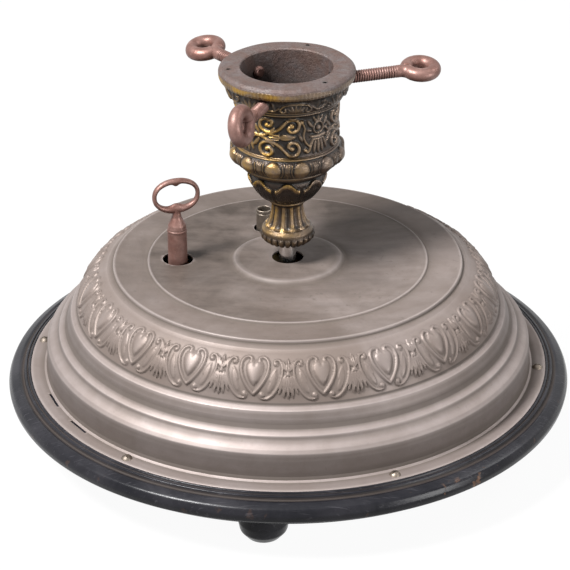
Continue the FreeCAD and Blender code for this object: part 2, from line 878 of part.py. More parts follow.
def ratchet_wheel():
    """Ratchet on the arbor's square, above the upper plate."""
    low = upper_plate_top + loose_gap
    points = []
    for index in range(ratchet_teeth):
        azimuth = click_bearing + 360.0 * index / ratchet_teeth
        points.append(polar(ratchet_radius, azimuth, low))
        points.append(polar(ratchet_radius - ratchet_depth, azimuth, low))
    wheel = Part.Face(Part.makePolygon(points + [points[0]])).extrude(V(0, 0, ratchet_thickness))
    hole = block(winding_square + 2 * fit_gap, winding_square + 2 * fit_gap,
                 ratchet_thickness + 2 * overrun, 0, 0, low - overrun)
    hole.rotate(V(0, 0, 0), UP, key_turn)
    wheel = wheel.cut(hole)
    wheel.translate(barrel_centre)
    return wheel


def click_place():
    """Pivot of the click."""
    return polar(click_reach, click_bearing + click_lead, 0, barrel_centre)


def click():
    """Pawl with a boss on its pivot and a nose in the ratchet's tooth."""
    low = upper_plate_top + loose_gap
    pivot = click_place()
    lean = math.degrees(loose_gap / ratchet_radius)
    step = 360.0 / ratchet_teeth
    nose = [
        (ratchet_radius - ratchet_depth + loose_gap, lean),
        (ratchet_radius + ratchet_depth, lean),
        (click_reach + click_arm_radius, click_lead),
        (click_reach - click_arm_radius, click_lead),
        (ratchet_radius + 2 * loose_gap, step + 2 * lean),
    ]
    points = [polar(radius, click_bearing + azimuth, low, barrel_centre) for radius, azimuth in nose]
    arm = Part.Face(Part.makePolygon(points + [points[0]])).extrude(V(0, 0, ratchet_thickness))
    boss = rod(click_boss_radius, low, low + ratchet_thickness, pivot)
    hole = rod(click_screw_radius + fit_gap, low - overrun, low + ratchet_thickness + overrun, pivot)
    return joined([arm, boss]).cut(hole)


def click_screw():
    """Shouldered screw that the click turns on."""
    pivot = click_place()
    seat = upper_plate_top + 2 * loose_gap + ratchet_thickness
    head = rod(click_head_radius, seat, seat + click_head_height, pivot)
    shank = rod(click_screw_radius, upper_plate_bottom, seat, pivot)
    slot = block(3 * click_head_radius, click_head_radius / 4, click_head_height,
                 pivot.x, pivot.y, seat + click_head_height / 2)
    return joined([head, shank]).cut(slot)


def click_spring():
    """Bent strip on a riveted foot; its free end bears on the back of the click."""
    low = upper_plate_top
    back = click_reach + click_boss_radius + loose_gap
    strip = block(click_spring_thickness, click_spring_length, ratchet_thickness + loose_gap,
                  back + click_spring_thickness / 2, click_spring_length / 2 - click_boss_radius / 2, low)
    foot = rod(click_spring_foot / 2, low, low + ratchet_thickness + loose_gap,
               (back + click_spring_thickness, click_spring_length - click_boss_radius / 2))
    spring = joined([strip, foot])
    spring.rotate(V(0, 0, 0), UP, click_bearing + click_lead)
    spring.translate(barrel_centre)
    return spring


def key_bottom():
    """Underside of the key when it is on the square."""
    return upper_plate_top + loose_gap + ratchet_thickness + key_tail_gap


def winding_key():
    """Key: socketed shank, bottle neck, and an oval bow with a cusp and a hump at its opening."""
    shoulder = dome_top + key_shoulder_rise
    neck_top = shoulder + key_neck_length
    shoulder_radius = key_shank_radius - key_shoulder_bevel
    shank = turned([
        (0, key_bottom()),
        (key_shank_radius, key_bottom()),
        (key_shank_radius, shoulder - key_shoulder_bevel),
        (shoulder_radius, shoulder),
        ((shoulder_radius + key_neck_radius) / 2 + key_neck_bulge, shoulder + key_neck_length / 2,
         key_neck_radius, neck_top),
        (key_neck_radius, neck_top + key_bow_top_width / 2),
        (0, neck_top + key_bow_top_width / 2),
    ])
    middle = neck_top + key_bow_height / 2
    half_width = key_bow_width / 2
    half_height = key_bow_height / 2
    opening_half_height = half_height - key_bow_top_width

    def oval(half_x, half_z, thickness):
        """Upright oval plate."""
        ellipse = Part.Ellipse(V(0, 0, 0), half_x, half_z).toShape()
        plate = Part.Face(Part.Wire(ellipse)).extrude(V(0, 0, thickness))
        plate.rotate(V(0, 0, 0), V(1, 0, 0), 90)
        plate.translate(V(0, thickness / 2, middle))
        return plate

    bow = oval(half_width, half_height, key_bow_thickness)
    bow = bow.cut(oval(half_width - key_bow_side_width, opening_half_height, 3 * key_bow_thickness))
    cusps = []
    for side, radius in ((1, key_cusp_radius), (-1, key_hump_radius)):
        start = V(0, key_bow_thickness / 2, middle + side * opening_half_height)
        cusps.append(Part.makeCylinder(radius, key_bow_thickness, start, V(0, -1, 0)))
    socket = block(winding_square + 2 * winding_square_gap, winding_square + 2 * winding_square_gap,
                   key_socket_depth + overrun, 0, 0, key_bottom() - overrun)
    key = joined([shank, bow] + cusps).cut(socket)
    key.rotate(V(0, 0, 0), UP, key_turn)
    key.translate(barrel_centre)
    return key


def leaf_low():
    """Underside of the leaf pinions that the spindle wheel drives."""
    return wheel_bottom - (leaf_height - spindle_wheel_thickness) / 2


def contrate_level():
    """Height of the cylinder's axis."""
    return upper_plate_bottom - contrate_drop - music_module * contrate_teeth / 2


def arbor(radius, leaves, centre):
    """Upright arbor with pivots in both plates and pinions on it."""
    shoulder_low = lower_plate_top + pivot_shoulder_gap
    shoulder_high = upper_plate_bottom - pivot_shoulder_gap
    body = rod(radius, shoulder_low, shoulder_high, centre)
    pivots = rod(pivot_radius, board_top + pivot_shoulder_gap, upper_plate_top - pivot_shoulder_gap, centre)
    return joined([body, pivots] + leaves)


def music_arbor():
    """Arbor that takes the spindle's motion up to the contrate wheel."""
    lower = gear(leaf_teeth, wheel_module, leaf_low(), leaf_height, music_centre,
                 meshed(leaf_teeth, music_bearing + 180.0, spindle_wheel_teeth, 0, music_bearing))
    top_low = contrate_level() + music_module * contrate_teeth / 2 - leaf_height / 2
    upper = gear(music_leaf_teeth, music_module, top_low, leaf_height, music_centre,
                 gap_facing(music_leaf_teeth, 0))
    return arbor(music_arbor_radius, [lower, upper], music_centre)


def contrate_body():
    """X of the contrate wheel's face behind its teeth."""
    leaf_tip = music_module * (music_leaf_teeth / 2 + addendum_share)
    return music_centre.x + leaf_tip + loose_gap


def contrate_wheel():
    """Crown wheel: teeth stand out of its face, parallel to its arbor."""
    pitch_radius = music_module * contrate_teeth / 2
    outer = pitch_radius + contrate_rim / 2
    inner = pitch_radius - contrate_rim / 2
    tooth_height = music_module * (addendum_share + dedendum_share)
    pitch = math.pi * music_module
    root = tooth_root_share * pitch / 2
    tip = tooth_tip_share * pitch / 2
    wheel = Part.makeCylinder(outer, contrate_thickness, V(0, 0, 0), V(1, 0, 0))
    profile = [V(0, root, inner), V(-tooth_height, tip, inner), V(-tooth_height, -tip, inner),
               V(0, -root, inner)]
    deep = [V(contrate_thickness / 2, root, inner), *profile, V(contrate_thickness / 2, -root, inner)]
    tooth = Part.Face(Part.makePolygon(deep + [deep[0]])).extrude(V(0, 0, contrate_rim))
    teeth = []
    for index in range(contrate_teeth):
        copy = tooth.copy()
        copy.rotate(V(0, 0, 0), V(1, 0, 0), 360.0 * index / contrate_teeth)
        teeth.append(copy)
    middle = (inner + contrate_hub_radius) / 2
    hole_radius = (inner - contrate_hub_radius) / 2 - music_module
    holes = [Part.makeCylinder(cylinder_arbor_radius + fit_gap, 3 * contrate_thickness,
                               V(-contrate_thickness, 0, 0), V(1, 0, 0))]
    for index in range(spindle_wheel_hole_count):
        hole = Part.makeCylinder(hole_radius, 3 * contrate_thickness, V(-contrate_thickness, 0, middle),
                                 V(1, 0, 0))
        hole.rotate(V(0, 0, 0), V(1, 0, 0), 360.0 * index / spindle_wheel_hole_count)
        holes.append(hole)
    wheel = joined([wheel] + teeth).cut(holes)
    wheel.translate(V(contrate_body(), music_centre.y, contrate_level()))
    return wheel


def bearing_start():
    """X of the first bearing block's near face."""
    return contrate_body() + contrate_thickness + bearing_offset


def cylinder_start():
    """X of the cylinder's near end."""
    return bearing_start() + bearing_thickness + cylinder_end_gap


def along_x(radius, start, length):
    """Cylinder along X on the music work's axis."""
    return Part.makeCylinder(radius, length, V(start, music_centre.y, contrate_level()), V(1, 0, 0))


def far_bearing_start():
    """X of the second bearing block's near face."""
    return cylinder_start() + cylinder_length + cylinder_end_gap


def cylinder_arbor():
    """Arbor of the music cylinder, from the contrate wheel through both blocks."""
    length = far_bearing_start() + bearing_thickness + overrun - contrate_body()
    return along_x(cylinder_arbor_radius, contrate_body(), length)


def music_cylinder():
    """Pinned cylinder's drum."""
    drum = along_x(cylinder_radius, cylinder_start(), cylinder_length)
    return drum.cut(along_x(cylinder_arbor_radius + fit_gap, cylinder_start() - overrun,
                            cylinder_length + 2 * overrun))


def bearing_block(start):
    """Upright block with a round crown that carries the cylinder's arbor."""
    level = contrate_level()
    post = block(bearing_thickness, bearing_width, level - lower_plate_top,
                 start + bearing_thickness / 2, music_centre.y, lower_plate_top)
    crown = along_x(bearing_crown, start, bearing_thickness)
    crown = crown.common(block(bearing_thickness, bearing_width, 2 * bearing_crown,
                               start + bearing_thickness / 2, music_centre.y, level - bearing_crown))
    hole = along_x(cylinder_arbor_radius + fit_gap, start - overrun, bearing_thickness + 2 * overrun)
    return joined([post, crown]).cut(hole)


def comb_near():
    """Y of the comb's tooth tips."""
    return music_centre.y + cylinder_radius + pin_height


def comb_screw_places():
    """Centres of the comb's screws."""
    y = comb_near() + comb_depth - comb_block_depth / 2
    return [V(cylinder_start() + cylinder_length * (index + 0.5) / comb_screw_count, y, 0)
            for index in range(comb_screw_count)]


def music_comb():
    """Steel comb: slots part its teeth, and screws hold its heel."""
    low = contrate_level() - comb_thickness / 2
    comb = block(cylinder_length, comb_depth, comb_thickness,
                 cylinder_start() + cylinder_length / 2, comb_near() + comb_depth / 2, low)
    cuts = []
    for index in range(1, comb_teeth):
        x = cylinder_start() + cylinder_length * index / comb_teeth
        cuts.append(block(comb_slot, comb_tooth_length + overrun, comb_thickness + 2 * overrun,
                          x, comb_near() + (comb_tooth_length - overrun) / 2, low - overrun))
    for place in comb_screw_places():
        cuts.append(rod(comb_screw_radius + fit_gap, low - overrun, low + comb_thickness + overrun, place))
    return comb.cut(cuts)


def comb_block():
    """Bar that carries the comb above the lower plate."""
    high = contrate_level() - comb_thickness / 2
    bar = block(cylinder_length, comb_block_depth, high - lower_plate_top,
                cylinder_start() + cylinder_length / 2,
                comb_near() + comb_depth - comb_block_depth / 2, lower_plate_top)
    holes = [rod(comb_screw_radius + fit_gap, high - comb_screw_bite, high + overrun, place)
             for place in comb_screw_places()]
    return bar.cut(holes)


def comb_screw(place):
    """Cheese-headed screw through the comb into its block."""
    seat = contrate_level() + comb_thickness / 2
    head = rod(comb_screw_head_radius, seat, seat + comb_screw_head_height, place)
    shank = rod(comb_screw_radius, seat - comb_thickness - comb_screw_bite + loose_gap, seat, place)
    return joined([head, shank])


def train_arbor():
    """Arbor that drives the governor."""
    leaf = gear(leaf_teeth, wheel_module, leaf_low(), leaf_height, train_centre,
                meshed(leaf_teeth, train_bearing + 180.0, spindle_wheel_teeth, 0, train_bearing))
    return arbor(music_arbor_radius, [leaf], train_centre)


def train_wheel():
    """Wheel on the train arbor that turns the governor's pinion."""
    low = lower_plate_top + train_wheel_rise
    wheel = gear(train_wheel_teeth, music_module, low, train_wheel_thickness, train_centre,
                 governor_direction)
    hub = rod(train_wheel_hub_radius, low - train_wheel_thickness, low + train_wheel_thickness,
              train_centre)
    middle = (train_wheel_hub_radius + train_wheel_teeth * music_module / 2) / 2
    hole = rod(train_wheel_hole_radius, low - overrun, low + train_wheel_thickness + overrun,
               polar(middle, 0, 0, train_centre))
    holes = around(hole, train_wheel_hole_count, 0, train_centre)
    bore = rod(music_arbor_radius + fit_gap, 0, cup_top, train_centre)
    return joined([wheel, hub]).cut(holes + [bore])


def governor_arbor():
    """Fast arbor with the smallest pinion."""
    low = lower_plate_top + train_wheel_rise - (leaf_height - train_wheel_thickness) / 2
    leaf = gear(governor_leaf_teeth, music_module, low, leaf_height, governor_centre,
                gap_facing(governor_leaf_teeth, governor_direction + 180.0))
    return arbor(governor_arbor_radius, [leaf], governor_centre)


def governor_fly():
    """Two-bladed air brake on a hub."""
    low = lower_plate_top + fly_rise
    hub = rod(fly_hub_radius, low, low + fly_height, governor_centre)
    blades = block(fly_span, fly_thickness, fly_height, governor_centre.x, governor_centre.y, low)
    bore = rod(governor_arbor_radius + fit_gap, 0, cup_top, governor_centre)
    return joined([hub, blades]).cut(bore)


def brake_disc():
    """Disc above the fly that the sleeve's foot stops."""
    low = lower_plate_top + brake_disc_rise
    return tube(brake_disc_radius, governor_arbor_radius + fit_gap, low, low + brake_disc_thickness,
                governor_centre)


def sleeve_bottom():
    """Underside of the raised sleeve."""
    return lower_plate_top + brake_disc_rise + brake_disc_thickness + loose_gap + sleeve_travel


def stop_sleeve():
    """Hollow sleeve with a closed foot, pushed down to stop the movement."""
    top = dome_top + sleeve_stand_height
    sleeve = rod(sleeve_radius, sleeve_bottom(), top, sleeve_place)
    hollow = rod(sleeve_radius - sleeve_wall, sleeve_bottom() + sleeve_sole, top + overrun, sleeve_place)
    return sleeve.cut(hollow)


def sleeve_guide():
    """Flanged bush that guides the sleeve in the upper plate."""
    outer = sleeve_radius + guide_wall
    body = rod(outer, upper_plate_bottom - overrun, upper_plate_top + bush_tail, sleeve_place)
    flange = rod(outer + guide_flange_width, upper_plate_top, upper_plate_top + bush_flange_thickness / 2,
                 sleeve_place)
    return joined([body, flange]).cut(rod(sleeve_radius + fit_gap, 0, cup_top, sleeve_place))


def cup_pedestal():
    """Iron pedestal: knob, fluted stem, leaf bowl and egg moulding, bored for the spindle."""
    rise = {name: pedestal_foot + pedestal_height * share for name, share in pedestal_rise_shares.items()}
    bead = collar_radius - stem_radius
    pedestal = turned([
        (0, pedestal_foot),
        (knob_foot_radius, pedestal_foot),
        (knob_radius - bead / 2, rise["knob_low"], knob_radius, rise["knob_mid"]),
        (knob_radius - bead / 3, rise["knob_high"], stem_foot_radius, rise["stem_foot"]),
        ((stem_radius + stem_foot_radius) / 2 - bead / 2, rise["stem_mid"], stem_radius, rise["stem_top"]),
        (collar_radius - bead / 4, rise["collar_low"]),
        (collar_radius, rise["collar_mid"], collar_radius - bead / 4, rise["collar_high"]),
        (bowl_radius - bead, rise["bowl_mid"], bowl_radius, rise["bowl_top"]),
        (bowl_radius + bead / 2, rise["neck_low"]),
        (lower_bead_radius - bead / 2, rise["neck_high"]),
        (lower_bead_radius, rise["bead_mid"], lower_bead_radius - bead / 4, rise["bead_high"]),
        (lower_bead_radius + bead / 2, rise["egg_low"]),
        (egg_band_radius, rise["egg_mid"], pedestal_top_radius, rise["egg_high"]),
        (pedestal_top_radius, cup_foot),
        (0, cup_foot),
    ])
    egg_height = (rise["egg_low"] + rise["egg_mid"]) / 2 + egg_stand_height
    egg_reach = egg_band_radius - egg_radius + egg_stand_height
    egg = Part.makeSphere(egg_radius, V(0, 0 - egg_reach, egg_height))
    flute = rod(flute_radius, rise["stem_foot"] + bead, rise["stem_top"] - bead / 2,
                (0, 0 - (stem_radius + flute_radius / 2)))
    pedestal = joined([pedestal] + around(egg, egg_count))
    return pedestal.cut(around(flute, flute_count) + [spindle_bore()])


def trunk_cup():
    """Iron cup: drum, moulded neck and lip, with the trunk's socket, screw holes and rim holes."""
    rise = {name: cup_foot + cup_height * share for name, share in cup_rise_shares.items()}
    lip_low = cup_top - lip_height
    corner = lip_bevel_width * (1 - math.sqrt(0.5))
    cup = turned([
        (0, cup_foot),
        (cup_foot_radius, cup_foot),
        (cup_foot_radius, rise["foot"]),
        (drum_radius, rise["drum_low"]),
        (drum_radius, rise["drum_high"]),
        (neck_bead_radius - lip_bevel_width / 3, rise["neck_low"]),
        (neck_bead_radius - lip_bevel_width / 3, rise["bead_low"]),
        (neck_bead_radius, rise["bead_mid"], neck_bead_radius - lip_bevel_width / 3, rise["bead_high"]),
        (neck_radius - lip_bevel_width / 4, rise["neck_mid"]),
        (neck_radius, rise["cove_low"]),
        (neck_radius + lip_bevel_width / 2, rise["cove_mid"], lip_radius - lip_bevel_width, lip_low),
        (lip_radius - lip_bevel_width / 2, lip_low),
        (lip_radius, lip_low + lip_bevel_width / 2),
        (lip_radius, cup_top - lip_bevel_width),
        (lip_radius - corner, cup_top - corner, lip_radius - lip_bevel_width, cup_top),
        (0, cup_top),
    ])
    cuts = [rod(trunk_radius, cup_top - trunk_mouth_depth, cup_top + overrun),
            rod(trunk_radius - socket_step_width, cup_foot + cup_floor_thickness, cup_top),
            rod(spindle_radius + fit_gap, cup_foot - overrun, cup_foot + spindle_grip_depth + loose_gap)]
    rim_hole = rod(rim_hole_radius, cup_top - rim_hole_depth, cup_top + overrun,
                   (rim_hole_circle_radius, 0))
    cuts += around(rim_hole, rim_hole_count, rim_hole_azimuth)
    for screw in clamp_screws.values():
        direction = polar(1, screw["azimuth"])
        cuts.append(Part.makeCylinder(clamp_radius + fit_gap, lip_radius, V(0, 0, clamp_level), direction))
    return cup.cut(cuts)


def clamp_screw(screw):
    """Round bar with a bevelled tip, bent into an eye whose end comes back to the shank."""
    tip = screw["reach"] - clamp_length
    eye_centre = screw["reach"] - clamp_radius - eye_radius
    bend = math.acos(eye_neck_radius / (eye_neck_radius + eye_radius))
    bend_start = eye_centre - (eye_neck_radius + eye_radius) * math.sin(bend)

    def on_neck(angle):
        """Point on the neck's bend."""
        return V(bend_start + eye_neck_radius * math.sin(angle), eye_neck_radius * (math.cos(angle) - 1), 0)

    def on_eye(angle):
        """Point on the eye's middle line."""
        return V(eye_centre + eye_radius * math.cos(angle), eye_radius * math.sin(angle), 0)

    first = math.pi + math.pi / 2 - bend
    last = 3 * math.pi - math.radians(eye_end_angle)
    quarter = first + (last - first) / 4
    half = first + (last - first) / 2
    three = first + 3 * (last - first) / 4
    shank = Part.makeCylinder(clamp_radius, bend_start - tip, V(tip, 0, 0), V(1, 0, 0))
    ends = [edge for edge in shank.Edges if edge.Closed and abs(edge.CenterOfMass.x - tip) < overrun]
    shank = shank.makeChamfer(clamp_tip_bevel, ends)
    path = Part.Wire([
        Part.Arc(V(bend_start, 0, 0), on_neck(bend / 2), on_neck(bend)).toShape(),
        Part.Arc(on_neck(bend), on_eye(quarter), on_eye(half)).toShape(),
        Part.Arc(on_eye(half), on_eye(three), on_eye(last)).toShape(),
    ])
    section = Part.Wire(Part.Circle(V(bend_start, 0, 0), V(1, 0, 0), clamp_radius).toShape())
    eye = path.makePipeShell([section], True, False)
    solid = joined([shank, eye])
    solid.rotate(V(0, 0, 0), V(1, 0, 0), screw["roll"])
    solid.rotate(V(0, 0, 0), UP, screw["azimuth"])
    solid.translate(V(0, 0, clamp_level))
    return solid


save(base_board(), "base_board")
save(Part.makeCompound([bun_foot(place) for place in foot_places()]), "bun_feet")
save(Part.makeCompound([foot_screw(place) for place in foot_places()]), "foot_screws")
save(dome_cover(), "dome_cover")
save(Part.makeCompound([flange_screw(place) for place in flange_screw_places()]), "flange_screws")

save(lower_plate(), "lower_plate")
save(upper_plate(), "upper_plate")
save(Part.makeCompound([pillar(place) for place in pillar_places()]), "pillars")
save(Part.makeCompound([pillar_nut(place) for place in pillar_places()]), "pillar_nuts")
save(Part.makeCompound([plate_screw(place) for place in plate_screw_places()]), "plate_screws")

save(footstep_bearing(), "footstep_bearing")
save(thrust_ball(), "thrust_ball")
save(upper_bush(), "upper_bush")
save(tree_spindle(), "tree_spindle")
save(spindle_wheel(), "spindle_wheel")
save(spindle_pinion(), "spindle_pinion")

save(mainspring_barrel(), "mainspring_barrel")
save(barrel_cover(), "barrel_cover")
save(mainspring(), "mainspring")
save(winding_arbor(), "winding_arbor")
save(ratchet_wheel(), "ratchet_wheel")
save(click(), "click")
save(click_screw(), "click_screw")
save(click_spring(), "click_spring")
save(winding_key(), "winding_key")

save(music_arbor(), "music_arbor")
save(contrate_wheel(), "contrate_wheel")
save(cylinder_arbor(), "cylinder_arbor")
save(music_cylinder(), "music_cylinder")
save(bearing_block(bearing_start()), "near_bearing_block")
save(bearing_block(far_bearing_start()), "far_bearing_block")
save(music_comb(), "music_comb")
save(comb_block(), "comb_block")
save(Part.makeCompound([comb_screw(place) for place in comb_screw_places()]), "comb_screws")

save(train_arbor(), "train_arbor")
save(train_wheel(), "train_wheel")
save(governor_arbor(), "governor_arbor")
save(governor_fly(), "governor_fly")
save(brake_disc(), "brake_disc")

save(stop_sleeve(), "stop_sleeve")
save(sleeve_guide(), "sleeve_guide")
save(cup_pedestal(), "cup_pedestal")
save(trunk_cup(), "trunk_cup")
for name, screw in clamp_screws.items():
    save(clamp_screw(screw), name)
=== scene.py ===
"""Christmas tree stand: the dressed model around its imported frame.

Lengths are millimetres in the shape functions and metres in the meshes and settings. +Z is up, the
tree turns about Z, and the photographed front is -Y. Bearings run from +X towards +Y, in degrees.
"""
import json
import math
from types import SimpleNamespace

import bmesh
import bpy
import numpy as np
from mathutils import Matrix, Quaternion, Vector


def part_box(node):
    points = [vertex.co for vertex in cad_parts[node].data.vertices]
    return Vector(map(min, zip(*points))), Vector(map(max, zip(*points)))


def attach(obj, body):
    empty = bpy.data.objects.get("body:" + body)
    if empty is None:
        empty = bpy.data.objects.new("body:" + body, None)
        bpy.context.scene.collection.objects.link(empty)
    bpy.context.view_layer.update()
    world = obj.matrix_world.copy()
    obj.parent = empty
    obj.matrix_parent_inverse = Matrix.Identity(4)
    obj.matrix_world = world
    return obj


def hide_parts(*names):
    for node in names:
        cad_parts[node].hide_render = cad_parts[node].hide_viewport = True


bl_info = {
    "name": "Christmas tree stand",
    "version": (1, 0, 0),
    "blender": (4, 5, 0),
    "location": "3D View > Sidebar > Tree Stand",
    "description": "Builds a key-wound, turning tree stand with its finishes around a packed frame",
    "category": "Object",
}

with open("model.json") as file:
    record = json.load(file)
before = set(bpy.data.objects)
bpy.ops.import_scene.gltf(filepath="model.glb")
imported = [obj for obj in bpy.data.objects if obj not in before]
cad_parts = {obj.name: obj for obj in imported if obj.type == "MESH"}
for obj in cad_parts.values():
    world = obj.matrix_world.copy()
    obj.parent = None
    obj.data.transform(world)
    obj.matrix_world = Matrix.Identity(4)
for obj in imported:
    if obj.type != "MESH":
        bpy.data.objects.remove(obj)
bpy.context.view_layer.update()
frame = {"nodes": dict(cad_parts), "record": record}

MM = 0.001
FULL_TURN = 2 * math.pi
PICTURE_SIZE = 570
SENSOR_WIDTH = 36.0

# Places on the dome, as shares of its radius
CENTRE_DISC = 0.535
SHOULDER = 0.690
FLANGE_FOLD = 0.942

# Bands of the pedestal, as shares of its height
EGG_BAND = (0.790, 0.972)
LEAF_BAND = (0.44, 0.70)
FLUTE_BAND = (0.165, 0.385)
LOBE_BAND = (0.0, 0.095)

# Bands of the cup and sizes of the frieze's motif, in millimetres
DRUM_BAND = (0.4, 31.2)
NECK_BAND = (36.4, 45.6)
MOTIF_WIDTH = 45.6
FRIEZE_FOOT = 2.6

# Bearings
FRONT = 270.0
SLOT_BEARINGS = (202.0, 215.5)
RIM_HOLE_BEARINGS = (69.0, 189.0, 309.0)


def high(node):
    """Top of a CAD node, in millimetres."""
    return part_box(node)[1].z / MM


def low(node):
    """Underside of a CAD node, in millimetres."""
    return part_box(node)[0].z / MM


def middle(node):
    """Middle of a CAD node seen from above, in millimetres."""
    lowest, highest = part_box(node)
    return (lowest.x + highest.x) / 2 / MM, (lowest.y + highest.y) / 2 / MM


def half_width(node):
    """Half of a CAD node's width along X, in millimetres."""
    lowest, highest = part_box(node)
    return (highest.x - lowest.x) / 2 / MM


# Shapes from arrays


def rounded_line(corners, turns=5):
    """Polyline through (r, z, rounding) corners.

    Each rounded corner is cut back along both of its runs, by its rounding over the tangent of half
    its angle and by at most half a run, and a quadratic curve with the corner as its control joins
    the two ends.
    """
    corners = np.array(corners, float)
    points = [corners[:1, :2]]
    share = np.linspace(0, 1, turns)[:, None]
    for before, here, after in zip(corners[:-2], corners[1:-1], corners[2:]):
        back = before[:2] - here[:2]
        ahead = after[:2] - here[:2]
        back_length = np.linalg.norm(back)
        ahead_length = np.linalg.norm(ahead)
        back = back / back_length
        ahead = ahead / ahead_length
        half_angle = math.acos(float(np.clip(back @ ahead, -1, 1))) / 2
        if here[2] <= 0 or half_angle > 0.499 * math.pi:
            points.append(here[None, :2])
            continue
        reach = min(here[2] / math.tan(half_angle), back_length / 2, ahead_length / 2)
        start = here[:2] + back * reach
        end = here[:2] + ahead * reach
        points.append((1 - share) ** 2 * start + 2 * share * (1 - share) * here[:2] + share ** 2 * end)
    points.append(corners[-1:, :2])
    return np.vstack(points)


def resampled(points, step):
    """The same polyline with no run longer than the step: each run is parted evenly."""
    runs = np.linalg.norm(np.diff(points, axis=0), axis=1)
    points = points[np.concatenate([[True], runs > 1e-6])]
    runs = np.linalg.norm(np.diff(points, axis=0), axis=1)
    along = np.concatenate([[0], np.cumsum(runs)])
    counts = np.maximum(1, np.ceil(runs / step)).astype(int)
    pieces = [np.linspace(a, b, n, endpoint=False) for a, b, n in zip(along[:-1], along[1:], counts)]
    places = np.concatenate(pieces + [along[-1:]])
    return np.stack([np.interp(places, along, points[:, 0]), np.interp(places, along, points[:, 1])], 1)


def outline_normals(points):
    """Unit normals of an outline that runs outward and down: its tangent turned a quarter turn left."""
    tangent = np.gradient(points, axis=0)
    tangent = tangent / np.maximum(np.linalg.norm(tangent, axis=1, keepdims=True), 1e-9)
    return np.stack([-tangent[:, 1], tangent[:, 0]], 1)


def outline_lengths(points):
    """Distance of each outline point from the first, along the outline."""
    return np.concatenate([[0], np.cumsum(np.linalg.norm(np.diff(points, axis=0), axis=1))])


def ring_angles(count):
    """Evenly spaced angles of a full turn."""
    return np.arange(count) * FULL_TURN / count


def round_rings(values, columns):
    """One value for each outline point, repeated round the ring that it is turned into."""
    return np.outer(values, np.ones(columns)).ravel()


def repeat_share(columns, repeats, bearing, shift=0.0):
    """Place of each column in its repeat, from -0.5 to 0.5 and 0 at the bearing, moved on by a share."""
    turns = np.arange(columns) / columns - bearing / 360
    return (turns * repeats + 0.5 + shift) % 1.0 - 0.5


def ramped(value, start, end):
    """From 0 to 1 as the value goes from start to end, and held there."""
    return np.clip((value - start) / (end - start), 0, 1)


def tapered(value, start, end, rise, fall):
    """From 0 to 1 over a rise after the start, and back to 0 over a fall before the end."""
    return ramped(value, start, start + rise) * ramped(value, end, end - fall)


def thinned(outline, radius, step):
    """The outline with one point in so many kept within a radius, and both its ends."""
    keep = (outline[:, 0] >= radius) | (np.arange(len(outline)) % step == 0)
    keep[-1] = True
    return outline[keep]


def lathed(points, columns, relief=0.0):
    """Grid of a turned surface: (r cos a, r sin a, z), moved by the relief along the outline's normal."""
    angles = ring_angles(columns)
    relief = np.broadcast_to(relief, (len(points), columns))
    normals = outline_normals(points)
    radii = points[:, :1] + normals[:, :1] * relief
    heights = points[:, 1:] + normals[:, 1:] * relief
    return np.stack([radii * np.cos(angles), radii * np.sin(angles), heights], 2)


def quads_between(first, second, count):
    """Faces between two closed rings of the same count that start at these vertex numbers."""
    here = np.arange(count)
    ahead = (here + 1) % count
    return np.stack([first + here, second + here, second + ahead, first + ahead], 1)


def fans_between(coarse, fine, count, times, flip):
    """Triangles from a ring to one with a whole number of times as many points."""
    here = np.arange(count)
    ahead = (here + 1) % count
    split = times // 2 + 1
    rows = []
    for index in range(times):
        corner = here if index < split else ahead
        start = fine + here * times + index
        end = fine + (here * times + index + 1) % (count * times)
        rows.append(np.stack([coarse + corner, start, end], 1))
        if index == split - 1:
            rows.append(np.stack([coarse + here, end, coarse + ahead], 1))
    faces = np.vstack(rows)
    return faces[:, ::-1] if flip else faces


def ringed(sections, closed=False):
    """Vertices and faces of sections of closed rings, one after the other, with fans where counts differ."""
    vertices = np.vstack([section.reshape(-1, 3) for section in sections])
    quads = []
    fans = []
    edges = []
    start = 0
    for section in sections:
        rows, columns = section.shape[:2]
        for row in range(rows - 1):
            quads.append(quads_between(start + row * columns, start + (row + 1) * columns, columns))
        edges.append((start, start + (rows - 1) * columns, columns))
        start += rows * columns
    pairs = list(zip(edges[:-1], edges[1:]))
    if closed:
        pairs.append((edges[-1], edges[0]))
    for (_, last, near_count), (first, _, far_count) in pairs:
        if near_count == far_count:
            quads.append(quads_between(last, first, near_count))
        elif far_count > near_count:
            fans.append(fans_between(last, first, near_count, far_count // near_count, False))
        else:
            fans.append(fans_between(first, last, far_count, near_count // far_count, True))
    faces = np.vstack(quads).tolist()
    for fan in fans:
        faces += fan.tolist()
    return vertices, faces


def capped(grid):
    """The grid with a pole at each end, at the middle of its end rings."""
    columns = grid.shape[1]
    first = np.repeat(grid[:1].mean(axis=1, keepdims=True), columns, axis=1)
    last = np.repeat(grid[-1:].mean(axis=1, keepdims=True), columns, axis=1)
    return np.concatenate([first, grid, last])


def turned(points, axis, degrees):
    """Points turned about the X or the Z axis."""
    first, second = {"X": (1, 2), "Z": (0, 1)}[axis]
    cosine = math.cos(math.radians(degrees))
    sine = math.sin(math.radians(degrees))
    result = np.array(points)
    result[..., first] = points[..., first] * cosine - points[..., second] * sine
    result[..., second] = points[..., first] * sine + points[..., second] * cosine
    return result


def joined(shapes):
    """Vertices and faces of several shapes as one."""
    faces = []
    start = 0
    for points, sides in shapes:
        faces += [[corner + start for corner in side] for side in sides]
        start += len(points)
    return np.vstack([points for points, _ in shapes]), faces


# Relief strokes on an ornament's flat pattern


